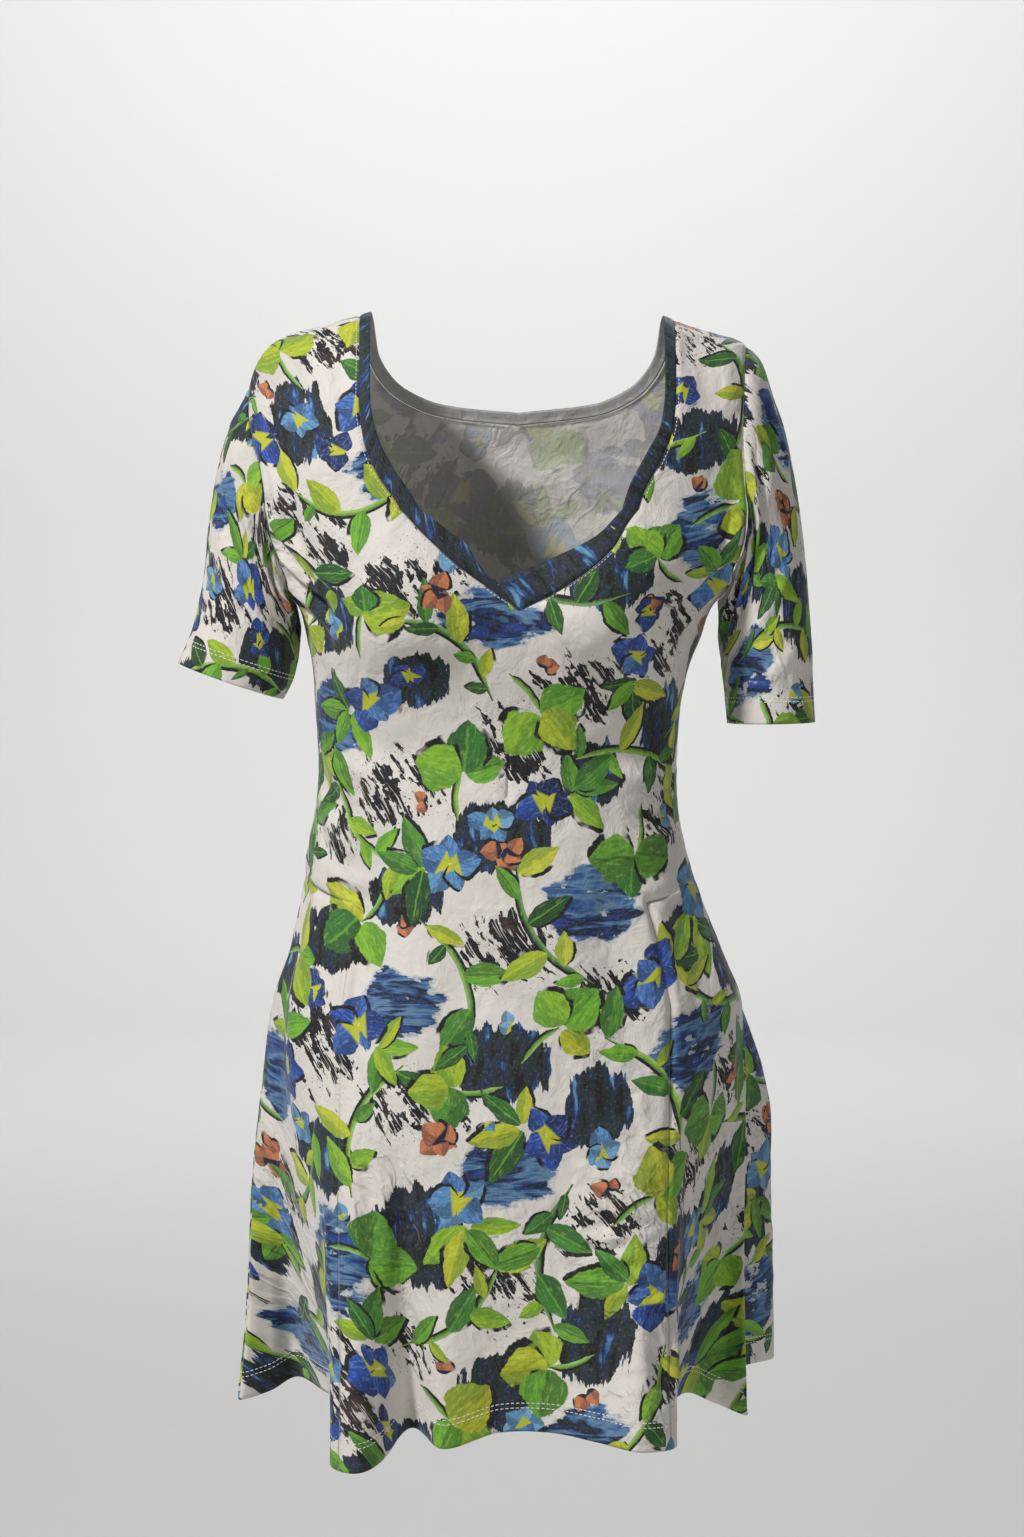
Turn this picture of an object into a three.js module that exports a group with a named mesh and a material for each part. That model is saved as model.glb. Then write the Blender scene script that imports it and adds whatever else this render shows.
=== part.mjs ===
// A short-sleeved, V-necked jersey dress, standing open as it is worn, with nobody in it.
// Millimetres. +Z is up, the dress faces -Y, and +X is the wearer's left.
// The origin is midway between the side seams, at the height where the neckline crosses the shoulders.
//
// The cloth lies on one surface, cloth(u, level). u goes round the body in degrees: 0 is the middle of the front,
// -90 and +90 are the side seams, 180 is the middle of the back. level is the height in mm up to CHEST_Z, and above
// that it counts SHOULDER_SPAN for the quarter turn from the chest, or the back, over to the shoulder seam.
// Each cut piece is a patch of that surface with a wall on its inner side.
import * as THREE from 'three';

// ---- driving dimensions ---------------------------------------------------------------------------------------
const WALL = 1.5;            // thickness of the cloth wall
const SEAM_GAP = 0.3;        // space left between two pieces along a seam
const SIDE_SEAM_GAP = 0.6;   // the same where the side seam of the skirt runs along the edge of a fold
const CHEST_Z = -150;        // above this height the cloth turns in over the shoulders
const SHOULDER_SPAN = 100;   // level units for that quarter turn
const WAIST_Z = -430;        // the waist seam
const PANEL_DRIFT = 6;       // how many degrees the upright skirt seams drift towards the middle below the waist
const DRIFT_SHARE = 0.3;     // share of the skirt's length in which they do
const WAIST_SEAM_DIP = 10;   // the waist seam, carried on across the front, would be this much lower in the middle
const WAIST_SEAM_RISE = 17;  // and rises this much from there to the side seams
const FOLD_POWER = 1.25;     // how fast the folds of the skirt deepen on the way to the hem
const TOP = CHEST_Z + SHOULDER_SPAN;   // the level of the shoulder seam

// Sections of the body of the dress. right and left are the half widths towards the wearer's right (-X) and left (+X),
// front and back are the depths, square is the exponent of the outline (2 is an ellipse).
const SECTION_COLUMNS = ['z', 'right', 'left', 'front', 'back', 'square'];
const SECTIONS = [
  /* hem          */ [-812, 193, 186, 152, 156, 2.1],
  /* low skirt    */ [-740, 188.5, 184, 148, 150, 2.1],
  /* mid skirt    */ [-660, 187, 183, 141, 143, 2.1],
  /* full hip     */ [-580, 181, 184, 132, 136, 2.15],
  /* high hip     */ [-520, 174, 181, 123, 128, 2.2],
  /* below waist  */ [-480, 160, 165, 113, 116, 2.2],
  /* waist seam   */ [-430, 149, 143, 104, 102, 2.2],
  /* above seam   */ [-400, 146, 135, 98, 94, 2.2],
  /* low waist    */ [-370, 141, 131, 93, 88, 2.2],
  /* waist        */ [-340, 139, 130.5, 90, 85, 2.2],
  /* high waist   */ [-300, 141, 133, 94, 88, 2.2],
  /* under bust   */ [-268, 143, 139, 100, 92, 2.2],
  /* bust         */ [-242, 148, 149, 104, 96, 2.25],
  /* underarm     */ [-222, 153, 156, 106, 98, 2.3],
  /* armhole foot */ [-205, 169, 172, 106, 99, 2.35],
  /* armhole      */ [-179, 185, 191, 104, 98, 2.45],
  /* chest        */ [-150, 197, 201, 99, 95, 2.5],
];

// The cups: two soft swellings of the front.
const CUP_COLUMNS = ['x', 'z', 'out', 'wide', 'above', 'below'];
const CUPS = [
  /* wearer's right */ [-84, -236, 27, 50, 58, 42],
  /* wearer's left  */ [84, -232, 28, 50, 58, 42],
];

// The line of the shoulders, seen from the front.
const SHOULDER_COLUMNS = ['x', 'z'];
const SHOULDER = [
  [-201, -116], [-197, -88], [-193, -68], [-189, -51], [-185, -40], [-180, -31], [-167, -20], [-152, -14.5],
  [-133, -10], [-112, -4], [-99, 0], [-60, 10], [11, 16], [80, 10], [120, -3], [138, -10], [160, -16.5],
  [176, -21], [183, -26], [191, -35], [198, -56], [205, -80],
];

// The neckline: edge is the open edge, seam is where the neck band is sewn to the dress. A z of null is on the shoulder seam.
const NECK_COLUMNS = ['edgeX', 'edgeZ', 'seamX', 'seamZ'];
const NECK_RIGHT = [
  /* shoulder */ [-99, null, -107, null],
  /* upper    */ [-97.5, -40, -105.5, -40],
  /* chest    */ [-96.5, -70, -105, -72],
  /* turn     */ [-91, -96, -101, -101],
  /* middle   */ [-80, -119, -90.5, -126],
  /* low      */ [-65.6, -140, -75, -149.5],
  /* lower    */ [-51, -156.5, -61, -164.5],
  /* near V   */ [-40, -165, -48, -177],
  /* nearer V */ [-26.5, -175, -29.5, -193.5],
  /* turned   */ [-17, -190, -9.5, -208],
  /* V        */ [-6, -202, 11.5, -224],
];
const NECK_LEFT = [
  /* shoulder */ [120, null, 128, null],
  /* upper    */ [119.5, -30, 127.5, -30],
  /* chest    */ [119, -60, 127, -61],
  /* turn     */ [116, -85, 124.5, -89],
  /* middle   */ [103, -112, 113.5, -118],
  /* low      */ [92, -133, 102.5, -139],
  /* lower    */ [82, -155, 91, -160],
  /* curve    */ [70, -167.5, 81, -177],
  /* flat     */ [56, -176, 61, -195.5],
  /* flatter  */ [34, -186, 38, -211],
  /* V        */ [-6, -202, 11.5, -224],
];
const NECK_BACK_MIDDLE = [11, -71, 11, -81];
const NECK_BACK = [
  /* right shoulder */ [-99, null, -107, null],
  /* right upper    */ [-96, -24, -104.5, -27],
  /* right turn     */ [-82, -48, -89, -55],
  /* right low      */ [-50, -64, -54, -73],
  NECK_BACK_MIDDLE,
  /* left low       */ [72, -64, 76, -73],
  /* left turn      */ [103, -48, 110, -55],
  /* left upper     */ [117, -24, 125.5, -27],
  /* left shoulder  */ [120, null, 128, null],
];

// The armholes, from the shoulder seam down to the side seam. An x of null is on the side seam.
const ARMHOLE_COLUMNS = ['x', 'z'];
const ARMHOLES = {
  right: {
    front: [[-190.5, null], [-190, -74], [-185.5, -98], [-179, -120], [-175.5, -148], [-170, -175], [-161, -198], [null, -219]],
    back: [[-190.5, null], [-187, -82], [-179, -110], [-172, -140], [-166, -170], [-159, -198], [null, -219]],
  },
  left: {
    front: [[183, null], [178.5, -62], [176.5, -100], [179, -140], [179.5, -166], [170.5, -194], [null, -216]],
    back: [[183, null], [176, -62], [170, -100], [169, -140], [171, -172], [167, -196], [null, -216]],
  },
};

// The hem, seen from above: where each ridge and hollow of the folds comes to, going round from the middle of the front.
// from and full are the shares of the skirt's length, from the waist seam, where that fold begins and is fully open.
const HEM_COLUMNS = ['u', 'x', 'y', 'z', 'from', 'full'];
const HEM = [
  /* middle of the front   */ [0, -2, -146, -814, 0.3, 1],
  /* right seam pleat      */ [-16, -44, -157, -823, 0.3, 1],
  /* right hollow          */ [-28, -69, -133, -815, 0.3, 1],
  /*                       */ [-35, -86, -168, -829, 0.28, 1],
  /* right front ridge     */ [-42, -104, -189, -833, 0.26, 1],
  /* its edge              */ [-48, -122, -171, -832, 0.26, 1],
  /* tucked behind it      */ [-57, -117, -119, -814, 0.26, 1],
  /*                       */ [-63, -123, -80, -806, 0.25, 1],
  /* right side hollow     */ [-69, -135, -45, -806, 0.2, 1],
  /*                       */ [-76, -156, -10, -804, 0.15, 1],
  /*                       */ [-83, -176, -24, -812, 0.12, 1],
  /* right side ridge      */ [-90, -199, -33, -816, 0.1, 1],
  /* behind it             */ [-97, -194, 12, -810, 0.1, 1],
  /* right back hollow     */ [-106, -168, 52, -804, 0.15, 1],
  /* right back ridge      */ [-119, -178, 122, -812, 0.2, 1],
  /* hollow                */ [-134, -118, 112, -806, 0.25, 1],
  /* ridge                 */ [-148, -92, 178, -815, 0.22, 1],
  /* hollow                */ [-163, -46, 143, -807, 0.3, 1],
  /* ridge                 */ [-175, -8, 167, -812, 0.35, 1],
  /* hollow                */ [-190, 44, 134, -805, 0.25, 1],
  /* ridge                 */ [-204, 86, 184, -815, 0.18, 1],
  /* hollow                */ [-219, 122, 130, -807, 0.15, 1],
  /* left back ridge       */ [-238, 198, 132, -812, 0.03, 0.56],
  /* its edge              */ [-246, 214, 104, -814, 0.03, 0.56],
  /* left back hollow      */ [-257, 178, 46, -812, 0.05, 0.8],
  /* behind the side ridge */ [-264, 176, 4, -816, 0.1, 1],
  /* left side ridge       */ [-270, 184, -37, -826, 0.1, 1],
  /*                       */ [-279, 161, -22, -822, 0.15, 1],
  /* left side hollow      */ [-287, 139, -46, -808, 0.2, 1],
  /*                       */ [-296, 124, -80, -809, 0.25, 1],
  /* tucked behind         */ [-303, 117, -120, -812, 0.26, 1],
  /* edge of the front     */ [-312, 124, -167, -819, 0.26, 1],
  /* left front ridge      */ [-320, 102, -189, -818, 0.26, 1],
  /*                       */ [-333, 68, -172, -815, 0.3, 1],
  /*                       */ [-346, 35, -151, -813, 0.3, 1],
];

// The sleeves, from the armhole (along 0) to the cuff (along 1): outer and inner edges seen from the front, and how far
// the front and back of the tube stand from its middle.
const SLEEVE_COLUMNS = ['along', 'outX', 'outZ', 'inX', 'inZ', 'front', 'back', 'midY'];
const SLEEVES = {
  right: [
    [0, -192, -62, -152.5, -219, 52, 52, 0],
    [0.07, -201, -77, -152, -224, 53, 54, 0],
    [0.16, -209, -93, -151.5, -230, 52, 54, -1],
    [0.3, -215.5, -124, -151, -238, 50, 53, -3],
    [0.47, -221, -160, -152, -248, 48, 50, -5],
    [0.65, -224.5, -198, -154, -262, 46, 48, -8],
    [0.83, -232, -236, -158, -277, 45, 46, -10],
    [1, -243, -263, -165, -290, 44, 45, -12],
  ],
  left: [
    [0, 184, -27, 158.5, -216, 52, 52, 0],
    [0.05, 194, -38, 159, -221, 54, 54, 0],
    [0.12, 203, -64, 160, -227, 54, 55, 0],
    [0.2, 211, -85, 160.5, -234, 53, 55, -1],
    [0.32, 217, -114, 161, -245, 50, 54, -3],
    [0.45, 222, -145, 162.5, -256, 48, 52, -6],
    [0.6, 227, -190, 164, -269, 46, 49, -9],
    [0.8, 231.5, -245, 166.5, -288, 44, 46, -12],
    [1, 233.5, -307, 168.5, -308, 42, 44, -14],
  ],
};

// How finely each piece is divided. A rung runs from the middle of a bodice to its side. Its ends are counted 0 to 1 up
// the middle line, or the side seam, from the waist seam, and 1 to 2 on along the neck seam, or the armhole, to the shoulder.
const RUNG_COLUMNS = ['middle', 'side'];
const FRONT_RUNGS = [[0, 0], [0.17, 0.17], [0.34, 0.34], [0.5, 0.5], [0.64, 0.64], [0.77, 0.77], [0.89, 0.9], [1, 1],
  [1.07, 1.12], [1.15, 1.22], [1.25, 1.32], [1.36, 1.42], [1.47, 1.52], [1.58, 1.62], [1.69, 1.73], [1.8, 1.83], [1.9, 1.92], [2, 2]];
const BACK_RUNGS = [[0, 0], [0.14, 0.2], [0.28, 0.4], [0.41, 0.6], [0.54, 0.8], [0.67, 1], [0.79, 1.14], [0.9, 1.28],
  [1, 1.42], [1.1, 1.5], [1.22, 1.58], [1.36, 1.66], [1.52, 1.75], [1.68, 1.84], [1.84, 1.92], [2, 2]];
const SKIRT_SHARES = [0, 0.08, 0.17, 0.26, 0.35, 0.44, 0.53, 0.62, 0.71, 0.8, 0.88, 0.95, 1];
const FRONT_SKIRT_U = [-46, -44, -41, -38, -34, -28, -22, -16, -8, 0, 7, 14, 20, 27, 34, 39, 43, 46];
const SIDE_RIGHT_U = [-46, -48, -52, -57, -63, -69, -76, -83, -90];
const SIDE_LEFT_U = [46, 48, 52, 57, 64, 73, 81, 90];
const BODICE_RIGHT_U = [-90, -76, -63, -53];
const BODICE_LEFT_U = [53, 64, 76, 90];
const BACK_SKIRT_U = [90, 95, 101, 107, 114, 122, 129, 137, 145, 152, 160, 167, 174, 181.5, 188.5, 194, 201, 208.5, 215.5, 223, 230,
  237.5, 244.5, 251, 258, 264, 270];
const SLEEVE_SHARES = [0, 0.05, 0.12, 0.22, 0.36, 0.52, 0.68, 0.84, 1];
const SLEEVE_EASE = 3;       // how soon below the armhole a sleeve takes its own shape
const BAND_ACROSS = 2;

// ---- interpolation --------------------------------------------------------------------------------------------
// A smooth curve through the rows of a table with no overshoot, each column against the first.
function smoothTable(rows) {
  const n = rows.length, width = rows[0].length;
  const x = rows.map((r) => r[0]);
  const slopes = [];
  for (let c = 1; c < width; c++) {
    const d = [], m = new Array(n).fill(0);
    for (let i = 0; i < n - 1; i++) d.push((rows[i + 1][c] - rows[i][c]) / (x[i + 1] - x[i]));
    for (let i = 1; i < n - 1; i++) {
      if (d[i - 1] * d[i] <= 0) continue;
      const h0 = x[i] - x[i - 1], h1 = x[i + 1] - x[i];
      m[i] = (3 * (h0 + h1)) / ((2 * h1 + h0) / d[i - 1] + (h1 + 2 * h0) / d[i]);
    }
    m[0] = d[0]; m[n - 1] = d[n - 2];
    slopes.push(m);
  }
  return (at) => {
    const q = Math.min(Math.max(at, x[0]), x[n - 1]);
    let i = 0;
    while (i < n - 2 && q > x[i + 1]) i++;
    const h = x[i + 1] - x[i], t = (q - x[i]) / h, t2 = t * t, t3 = t2 * t;
    const out = [];
    for (let c = 1; c < width; c++) {
      const m = slopes[c - 1];
      out.push((2 * t3 - 3 * t2 + 1) * rows[i][c] + (t3 - 2 * t2 + t) * h * m[i]
        + (-2 * t3 + 3 * t2) * rows[i + 1][c] + (t3 - t2) * h * m[i + 1]);
    }
    return out;
  };
}

// The hem's ring: a closed curve through its rows, by u.
function closedTable(rows) {
  const sorted = rows.map((r) => [((r[0] % 360) + 360) % 360, ...r.slice(1)]).sort((a, b) => a[0] - b[0]);
  const n = sorted.length;
  const at = (i) => {
    const turn = Math.floor(i / n), r = sorted[((i % n) + n) % n];
    return [r[0] + 360 * turn, ...r.slice(1)];
  };
  const slope = (i, c) => {
    const a = at(i - 1), b = at(i), d = at(i + 1);
    const h0 = b[0] - a[0], h1 = d[0] - b[0];
    return (((b[c] - a[c]) / h0) * h1 + ((d[c] - b[c]) / h1) * h0) / (h0 + h1);
  };
  return (u) => {
    const q = ((u % 360) + 360) % 360;
    let i = -1;
    while (at(i + 1)[0] <= q) i++;
    const a = at(i), b = at(i + 1), h = b[0] - a[0], t = (q - a[0]) / h, t2 = t * t, t3 = t2 * t;
    return [1, 2, 3, 4, 5].map((c) => (2 * t3 - 3 * t2 + 1) * a[c] + (t3 - 2 * t2 + t) * h * slope(i, c)
      + (-2 * t3 + 3 * t2) * b[c] + (t3 - t2) * h * slope(i + 1, c));
  };
}

const section = smoothTable([...SECTIONS].sort((a, b) => a[0] - b[0]));
const shoulderZ = (x) => shoulderTable(x)[0];
const shoulderTable = smoothTable(SHOULDER);
const hemAt = closedTable(HEM);
const rad = Math.PI / 180;

// ---- the surface of the dress ---------------------------------------------------------------------------------
// The flat ring of the dress at height z, without cups or folds.
function ring(u, z) {
  const [right, left, front, back, square] = section(z);
  const across = Math.sin(u * rad), along = Math.cos(u * rad);
  const e = 2 / square;
  const x = Math.sign(across) * (across < 0 ? right : left) * Math.abs(across) ** e;
  const y = -Math.sign(along) * (along > 0 ? front : back) * Math.abs(along) ** e;
  return [x, y];
}

function cupPush(x, z) {
  let push = 0;
  for (const [cx, cz, out, wide, above, below] of CUPS) {
    const dz = (z - cz) / (z > cz ? above : below);
    push += out * Math.exp(-(((x - cx) / wide) ** 2) - dz * dz);
  }
  return push;
}

// isBack says which of the two pieces the point is on, for the side seams, where both meet.
function cloth(u, level, isBack = Math.cos(u * rad) < 0) {
  const z = Math.min(level, CHEST_Z);
  let [x, y] = ring(u, z);
  if (!isBack) y -= cupPush(x, level) * Math.min(1, Math.max(0, -y) / 60);
  let height = z;
  if (level > CHEST_Z) {
    const turn = ((level - CHEST_Z) / SHOULDER_SPAN) * 90 * rad;
    y *= Math.cos(turn);
    height = CHEST_Z + (shoulderZ(x) - CHEST_Z) * Math.sin(turn);
  }
  const away = Math.abs(Math.sin(u * rad));
  height += (WAIST_SEAM_RISE * away ** 6 - WAIST_SEAM_DIP) * Math.exp(-(((level - WAIST_Z) / 45) ** 2));
  return new THREE.Vector3(x, y + (isBack ? 1 : -1) * (SEAM_GAP / 2), height);
}

// The skirt, by share of its length from the waist seam.
function drift(u, share) {
  if (Math.abs(u) >= 90) return u;
  const t = Math.min(1, Math.max(0, share / DRIFT_SHARE));
  return u - PANEL_DRIFT * t * t * (3 - 2 * t) * Math.sin(2 * u * rad);
}
function skirt(u, share, isBack) {
  const [hx, hy, hz, from, full] = hemAt(u);
  const hemZ = SECTIONS[0][0];
  const p = cloth(drift(u, share), WAIST_Z + share * (hemZ - WAIST_Z), isBack);
  const [bx, by] = ring(drift(u, 1), hemZ);
  const t = Math.min(1, Math.max(0, (share - from) / (full - from)));
  const soft = Math.min(1, (1 - full) * 3);                // a fold that is full before the hem eases into it
  const fold = t ** FOLD_POWER * (1 - 0.25 * t * (1 - t)) * (1 - soft) + t * t * (3 - 2 * t) * soft;
  p.x += fold * (hx - bx);
  p.y += fold * (hy - by);
  p.z += fold * (hz - hemZ);
  return p;
}

// The way through the wall at a point of a surface f(u, v): square to the cloth on both sides of the point, and
// longer where the cloth is folded there, so the wall keeps its thickness.
function through(f, u, v, stepU = 0.8, stepV = 1.2) {
  const here = f(u, v), up = f(u, v + stepV).sub(f(u, v - stepV));
  const one = here.clone().sub(f(u - stepU, v)).cross(up).normalize();
  const two = f(u + stepU, v).sub(here).cross(up).normalize();
  const way = one.clone().add(two).normalize();
  return way.multiplyScalar(-1 / Math.max(0.6, way.dot(one)));
}
const throughCloth = (u, level, isBack) => through((a, b) => cloth(a, b, isBack), u, level);
const throughSkirt = (u, share, isBack) => through((a, b) => skirt(a, -b, isBack), u, -share, 0.8, 0.004);

// u moved so that the point goes a gap's width along the cloth.
function beside(u, share, gap, isBack) {
  return u + gap / (skirt(u + 0.1, share, isBack).distanceTo(skirt(u - 0.1, share, isBack)) / 0.2);
}

// u and level of the point of the front or back that shows at (x, z) from the front. A z of null is on the shoulder seam.
function place(x, z, back) {
  const level = z === null ? TOP : z <= CHEST_Z ? z
    : CHEST_Z + (Math.asin(Math.min(1, (z - CHEST_Z) / (shoulderZ(x) - CHEST_Z))) / rad / 90) * SHOULDER_SPAN;
  const [right, left, , , square] = section(Math.min(level, CHEST_Z));
  const share = Math.min(1, Math.abs(x) / (x < 0 ? right : left)) ** (square / 2);
  const u = (Math.asin(share) / rad) * Math.sign(x);
  return [back ? 180 - u : u, level];
}

// A seam or edge drawn through rows of (x, z), as many close (u, level) pairs from its first row to its last.
function drawn(rows, back, side, steps = 120) {
  const sideSeam = side === 'left' ? 90 : back ? 270 : -90;
  const known = rows.map(([x, z]) => (x === null ? [sideSeam, z] : place(x, z, back)));
  const points = known.map(([u, level]) => cloth(u, level, back));
  const length = [0];
  for (let i = 1; i < known.length; i++) length.push(length[i - 1] + points[i].distanceTo(points[i - 1]));
  const curve = smoothTable(known.map(([u, level], i) => [length[i], u, level]));
  return Array.from({ length: steps + 1 }, (_, i) => curve((length[length.length - 1] * i) / steps));
}

// The (u, level) pair at a share of the way along a drawn line.
function along(curve, share) {
  const q = share * (curve.length - 1), i = Math.min(Math.floor(q), curve.length - 2), t = q - i;
  return [0, 1].map((c) => curve[i][c] + (curve[i + 1][c] - curve[i][c]) * t);
}

// ---- walls ----------------------------------------------------------------------------------------------------
// Collects the outer face of one piece, then gives it a wall on the inner side and closes its edges.
class Piece {
  constructor() { this.points = []; this.inward = []; this.faces = []; this.keys = new Map(); }
  point(p, inward = null) {
    const key = `${p.x.toFixed(3)},${p.y.toFixed(3)},${p.z.toFixed(3)}`;
    if (!this.keys.has(key)) {
      this.keys.set(key, this.points.length);
      this.points.push(p.clone());
      this.inward.push(inward ? inward.clone() : null);
    }
    return this.keys.get(key);
  }
  quad(a, b, c, d) {
    for (const f of [[a, b, c], [a, c, d]])
      if (f[0] !== f[1] && f[1] !== f[2] && f[0] !== f[2]) this.faces.push(f);
  }
  grid(rows) {
    for (let j = 0; j < rows.length - 1; j++)
      for (let i = 0; i < rows[j].length - 1; i++)
        this.quad(rows[j][i], rows[j][i + 1], rows[j + 1][i + 1], rows[j + 1][i]);
  }
  geometry(wall = WALL) {
    const n = this.points.length;
    const normals = this.points.map(() => new THREE.Vector3());
    const ab = new THREE.Vector3(), ac = new THREE.Vector3();
    for (const [a, b, c] of this.faces) {
      ab.subVectors(this.points[b], this.points[a]);
      ac.subVectors(this.points[c], this.points[a]);
      const area = ab.cross(ac).clone();
      for (const k of [a, b, c]) normals[k].add(area);
    }
    const position = [];
    for (const p of this.points) position.push(p.x, p.y, p.z);
    this.points.forEach((p, i) => {
      const way = this.inward[i] || normals[i].normalize().negate();
      position.push(p.x + way.x * wall, p.y + way.y * wall, p.z + way.z * wall);
    });
    const index = [], edges = new Map();
    for (const [a, b, c] of this.faces) {
      index.push(a, b, c, n + a, n + c, n + b);
      for (const [p, q] of [[a, b], [b, c], [c, a]]) {
        const back = `${q},${p}`;
        if (edges.has(back)) edges.delete(back); else edges.set(`${p},${q}`, [p, q]);
      }
    }
    for (const [p, q] of edges.values()) index.push(q, p, n + p, q, n + p, n + q);
    const g = new THREE.BufferGeometry();
    g.setAttribute('position', new THREE.Float32BufferAttribute(position, 3));
    g.setIndex(index);
    g.computeVertexNormals();
    return g;
  }
}

// ---- seams and edges ------------------------------------------------------------------------------------------
// Each runs from its foot up to the shoulder seam.
const line = (rows, x, z, back) => drawn(rows.map((r) => [r[x], r[z]]), back);
const backNeckLine = (x, z) => {
  const middle = NECK_BACK.findIndex((r) => r === NECK_BACK_MIDDLE);
  return {
    right: line(NECK_BACK.slice(0, middle + 1).reverse(), x, z, true),
    left: line(NECK_BACK.slice(middle), x, z, true),
  };
};
const neckSeam = {
  right: line([...NECK_RIGHT].reverse(), 2, 3, false), left: line([...NECK_LEFT].reverse(), 2, 3, false), back: backNeckLine(2, 3),
};
const neckEdge = {
  right: line([...NECK_RIGHT].reverse(), 0, 1, false), left: line([...NECK_LEFT].reverse(), 0, 1, false), back: backNeckLine(0, 1),
};
const armhole = {};
for (const side of ['right', 'left'])
  armhole[side] = {
    front: drawn([...ARMHOLES[side].front].reverse(), false, side), back: drawn([...ARMHOLES[side].back].reverse(), true, side),
  };

// The ends of the rungs of half a bodice, as (u, level) pairs.
function rungs(table, middleU, sideU, neck, arm) {
  const end = (t, straightU, curve) => {
    const [footU, footLevel] = curve[0];
    return t <= 1 ? [straightU + (footU - straightU) * t, WAIST_Z + (footLevel - WAIST_Z) * t] : along(curve, t - 1);
  };
  return table.map(([middle, side]) => [end(middle, middleU, neck), end(side, sideU, arm)]);
}
function halfBodice(piece, isBack, cols, table, middleU, sideU, neck, arm) {
  piece.grid(rungs(table, middleU, sideU, neck, arm).map(([inner, outer]) => cols.map((col) => {
    const share = Math.abs(col - middleU) / Math.abs(sideU - middleU);
    const [u, level] = [0, 1].map((c) => inner[c] + (outer[c] - inner[c]) * share);
    return piece.point(cloth(u, level, isBack), throughCloth(u, level, isBack));
  })));
}
const skirtRows = [...SKIRT_SHARES].reverse();
const skirtGrid = (piece, cols, isBack) => piece.grid(skirtRows.map((share) => cols.map((u) =>
  piece.point(skirt(u, share, isBack), share === 0 ? throughCloth(u, WAIST_Z, isBack) : throughSkirt(u, share, isBack)))));

// ---- the front: bodice and middle of the skirt in one piece -----------------------------------------------------
const FRONT_COLUMNS = {
  right: [...BODICE_RIGHT_U, ...FRONT_SKIRT_U.filter((u) => u <= 0)],
  left: [...FRONT_SKIRT_U.filter((u) => u >= 0), ...BODICE_LEFT_U],
};
function front() {
  const piece = new Piece();
  halfBodice(piece, false, FRONT_COLUMNS.right, FRONT_RUNGS, 0, -90, neckSeam.right, armhole.right.front);
  halfBodice(piece, false, FRONT_COLUMNS.left, FRONT_RUNGS, 0, 90, neckSeam.left, armhole.left.front);
  skirtGrid(piece, FRONT_SKIRT_U, false);
  return piece;
}

// ---- the side pieces of the front skirt -------------------------------------------------------------------------
// The top row follows the bodice's own edge, between the columns the bodice has there.
function waistEdge(u, bodiceColumns) {
  let i = 0;
  while (i < bodiceColumns.length - 2 && u > bodiceColumns[i + 1]) i++;
  const [a, b] = [bodiceColumns[i], bodiceColumns[i + 1]], t = (u - a) / (b - a);
  return {
    p: cloth(a, WAIST_Z, false).lerp(cloth(b, WAIST_Z, false), t),
    way: throughCloth(a, WAIST_Z, false).lerp(throughCloth(b, WAIST_Z, false), t),
  };
}
function sideSkirt(columns, bodiceColumns) {
  const piece = new Piece();
  const s = Math.sign(columns[0]), last = columns.length - 1;
  piece.grid(skirtRows.map((share) => {
    const row = columns.map((col, i) => {
      const u = i === 0 ? beside(col, share, s * SEAM_GAP, false)
        : i === last ? beside(col, share, -s * SIDE_SEAM_GAP, false) : col;
      if (share > 0) return piece.point(skirt(u, share, false), throughSkirt(col, share, false));
      const { p, way } = waistEdge(u, bodiceColumns);
      p.z -= SEAM_GAP;
      return piece.point(p, way);
    });
    return s < 0 ? row.reverse() : row;
  }));
  return piece;
}

// ---- the back, in one piece --------------------------------------------------------------------------------------
function back() {
  const piece = new Piece();
  const middleU = BACK_SKIRT_U[Math.floor(BACK_SKIRT_U.length / 2)];
  halfBodice(piece, true, BACK_SKIRT_U.filter((u) => u <= middleU), BACK_RUNGS, middleU, 90, neckSeam.back.left, armhole.left.back);
  halfBodice(piece, true, BACK_SKIRT_U.filter((u) => u >= middleU), BACK_RUNGS, middleU, 270, neckSeam.back.right, armhole.right.back);
  skirtGrid(piece, BACK_SKIRT_U, true);
  return piece;
}

// ---- the neck band: three strips, mitred at the V ----------------------------------------------------------------
// One length of band, from a seam and an edge, at the same places as the rungs of the bodice it is sewn to.
function bandRows(piece, seam, edge, table, isBack, foot) {
  const top = TOP - SEAM_GAP;
  return table.filter(([middle]) => middle >= 1).map(([middle]) => {
    const share = Math.max(middle - 1, foot);
    const [ue, le] = along(edge, share), [us, ls] = along(seam, share);
    const from = cloth(us, Math.min(ls, top), isBack);
    const gap = (SEAM_GAP * 1.3) / from.distanceTo(cloth(ue, Math.min(le, top), isBack));
    return Array.from({ length: BAND_ACROSS + 1 }, (_, k) => {
      const t = gap + (1 - gap) * (k / BAND_ACROSS);
      const u = us + (ue - us) * t, level = Math.min(ls + (le - ls) * t, top);
      return piece.point(cloth(u, level, isBack), throughCloth(k ? u : us, k ? level : ls, isBack));
    });
  });
}
const MITRE = 0.004;         // share of the band's length left open at the V
function frontBand(side) {
  const piece = new Piece();
  const rows = bandRows(piece, neckSeam[side], neckEdge[side], FRONT_RUNGS, false, MITRE);
  piece.grid(side === 'right' ? rows : rows.reverse());
  return piece;
}
function backBand() {
  const piece = new Piece();
  const left = bandRows(piece, neckSeam.back.left, neckEdge.back.left, BACK_RUNGS, true, 0);
  const right = bandRows(piece, neckSeam.back.right, neckEdge.back.right, BACK_RUNGS, true, 0);
  piece.grid([...right.reverse(), ...left.slice(1)]);
  return piece;
}

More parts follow.
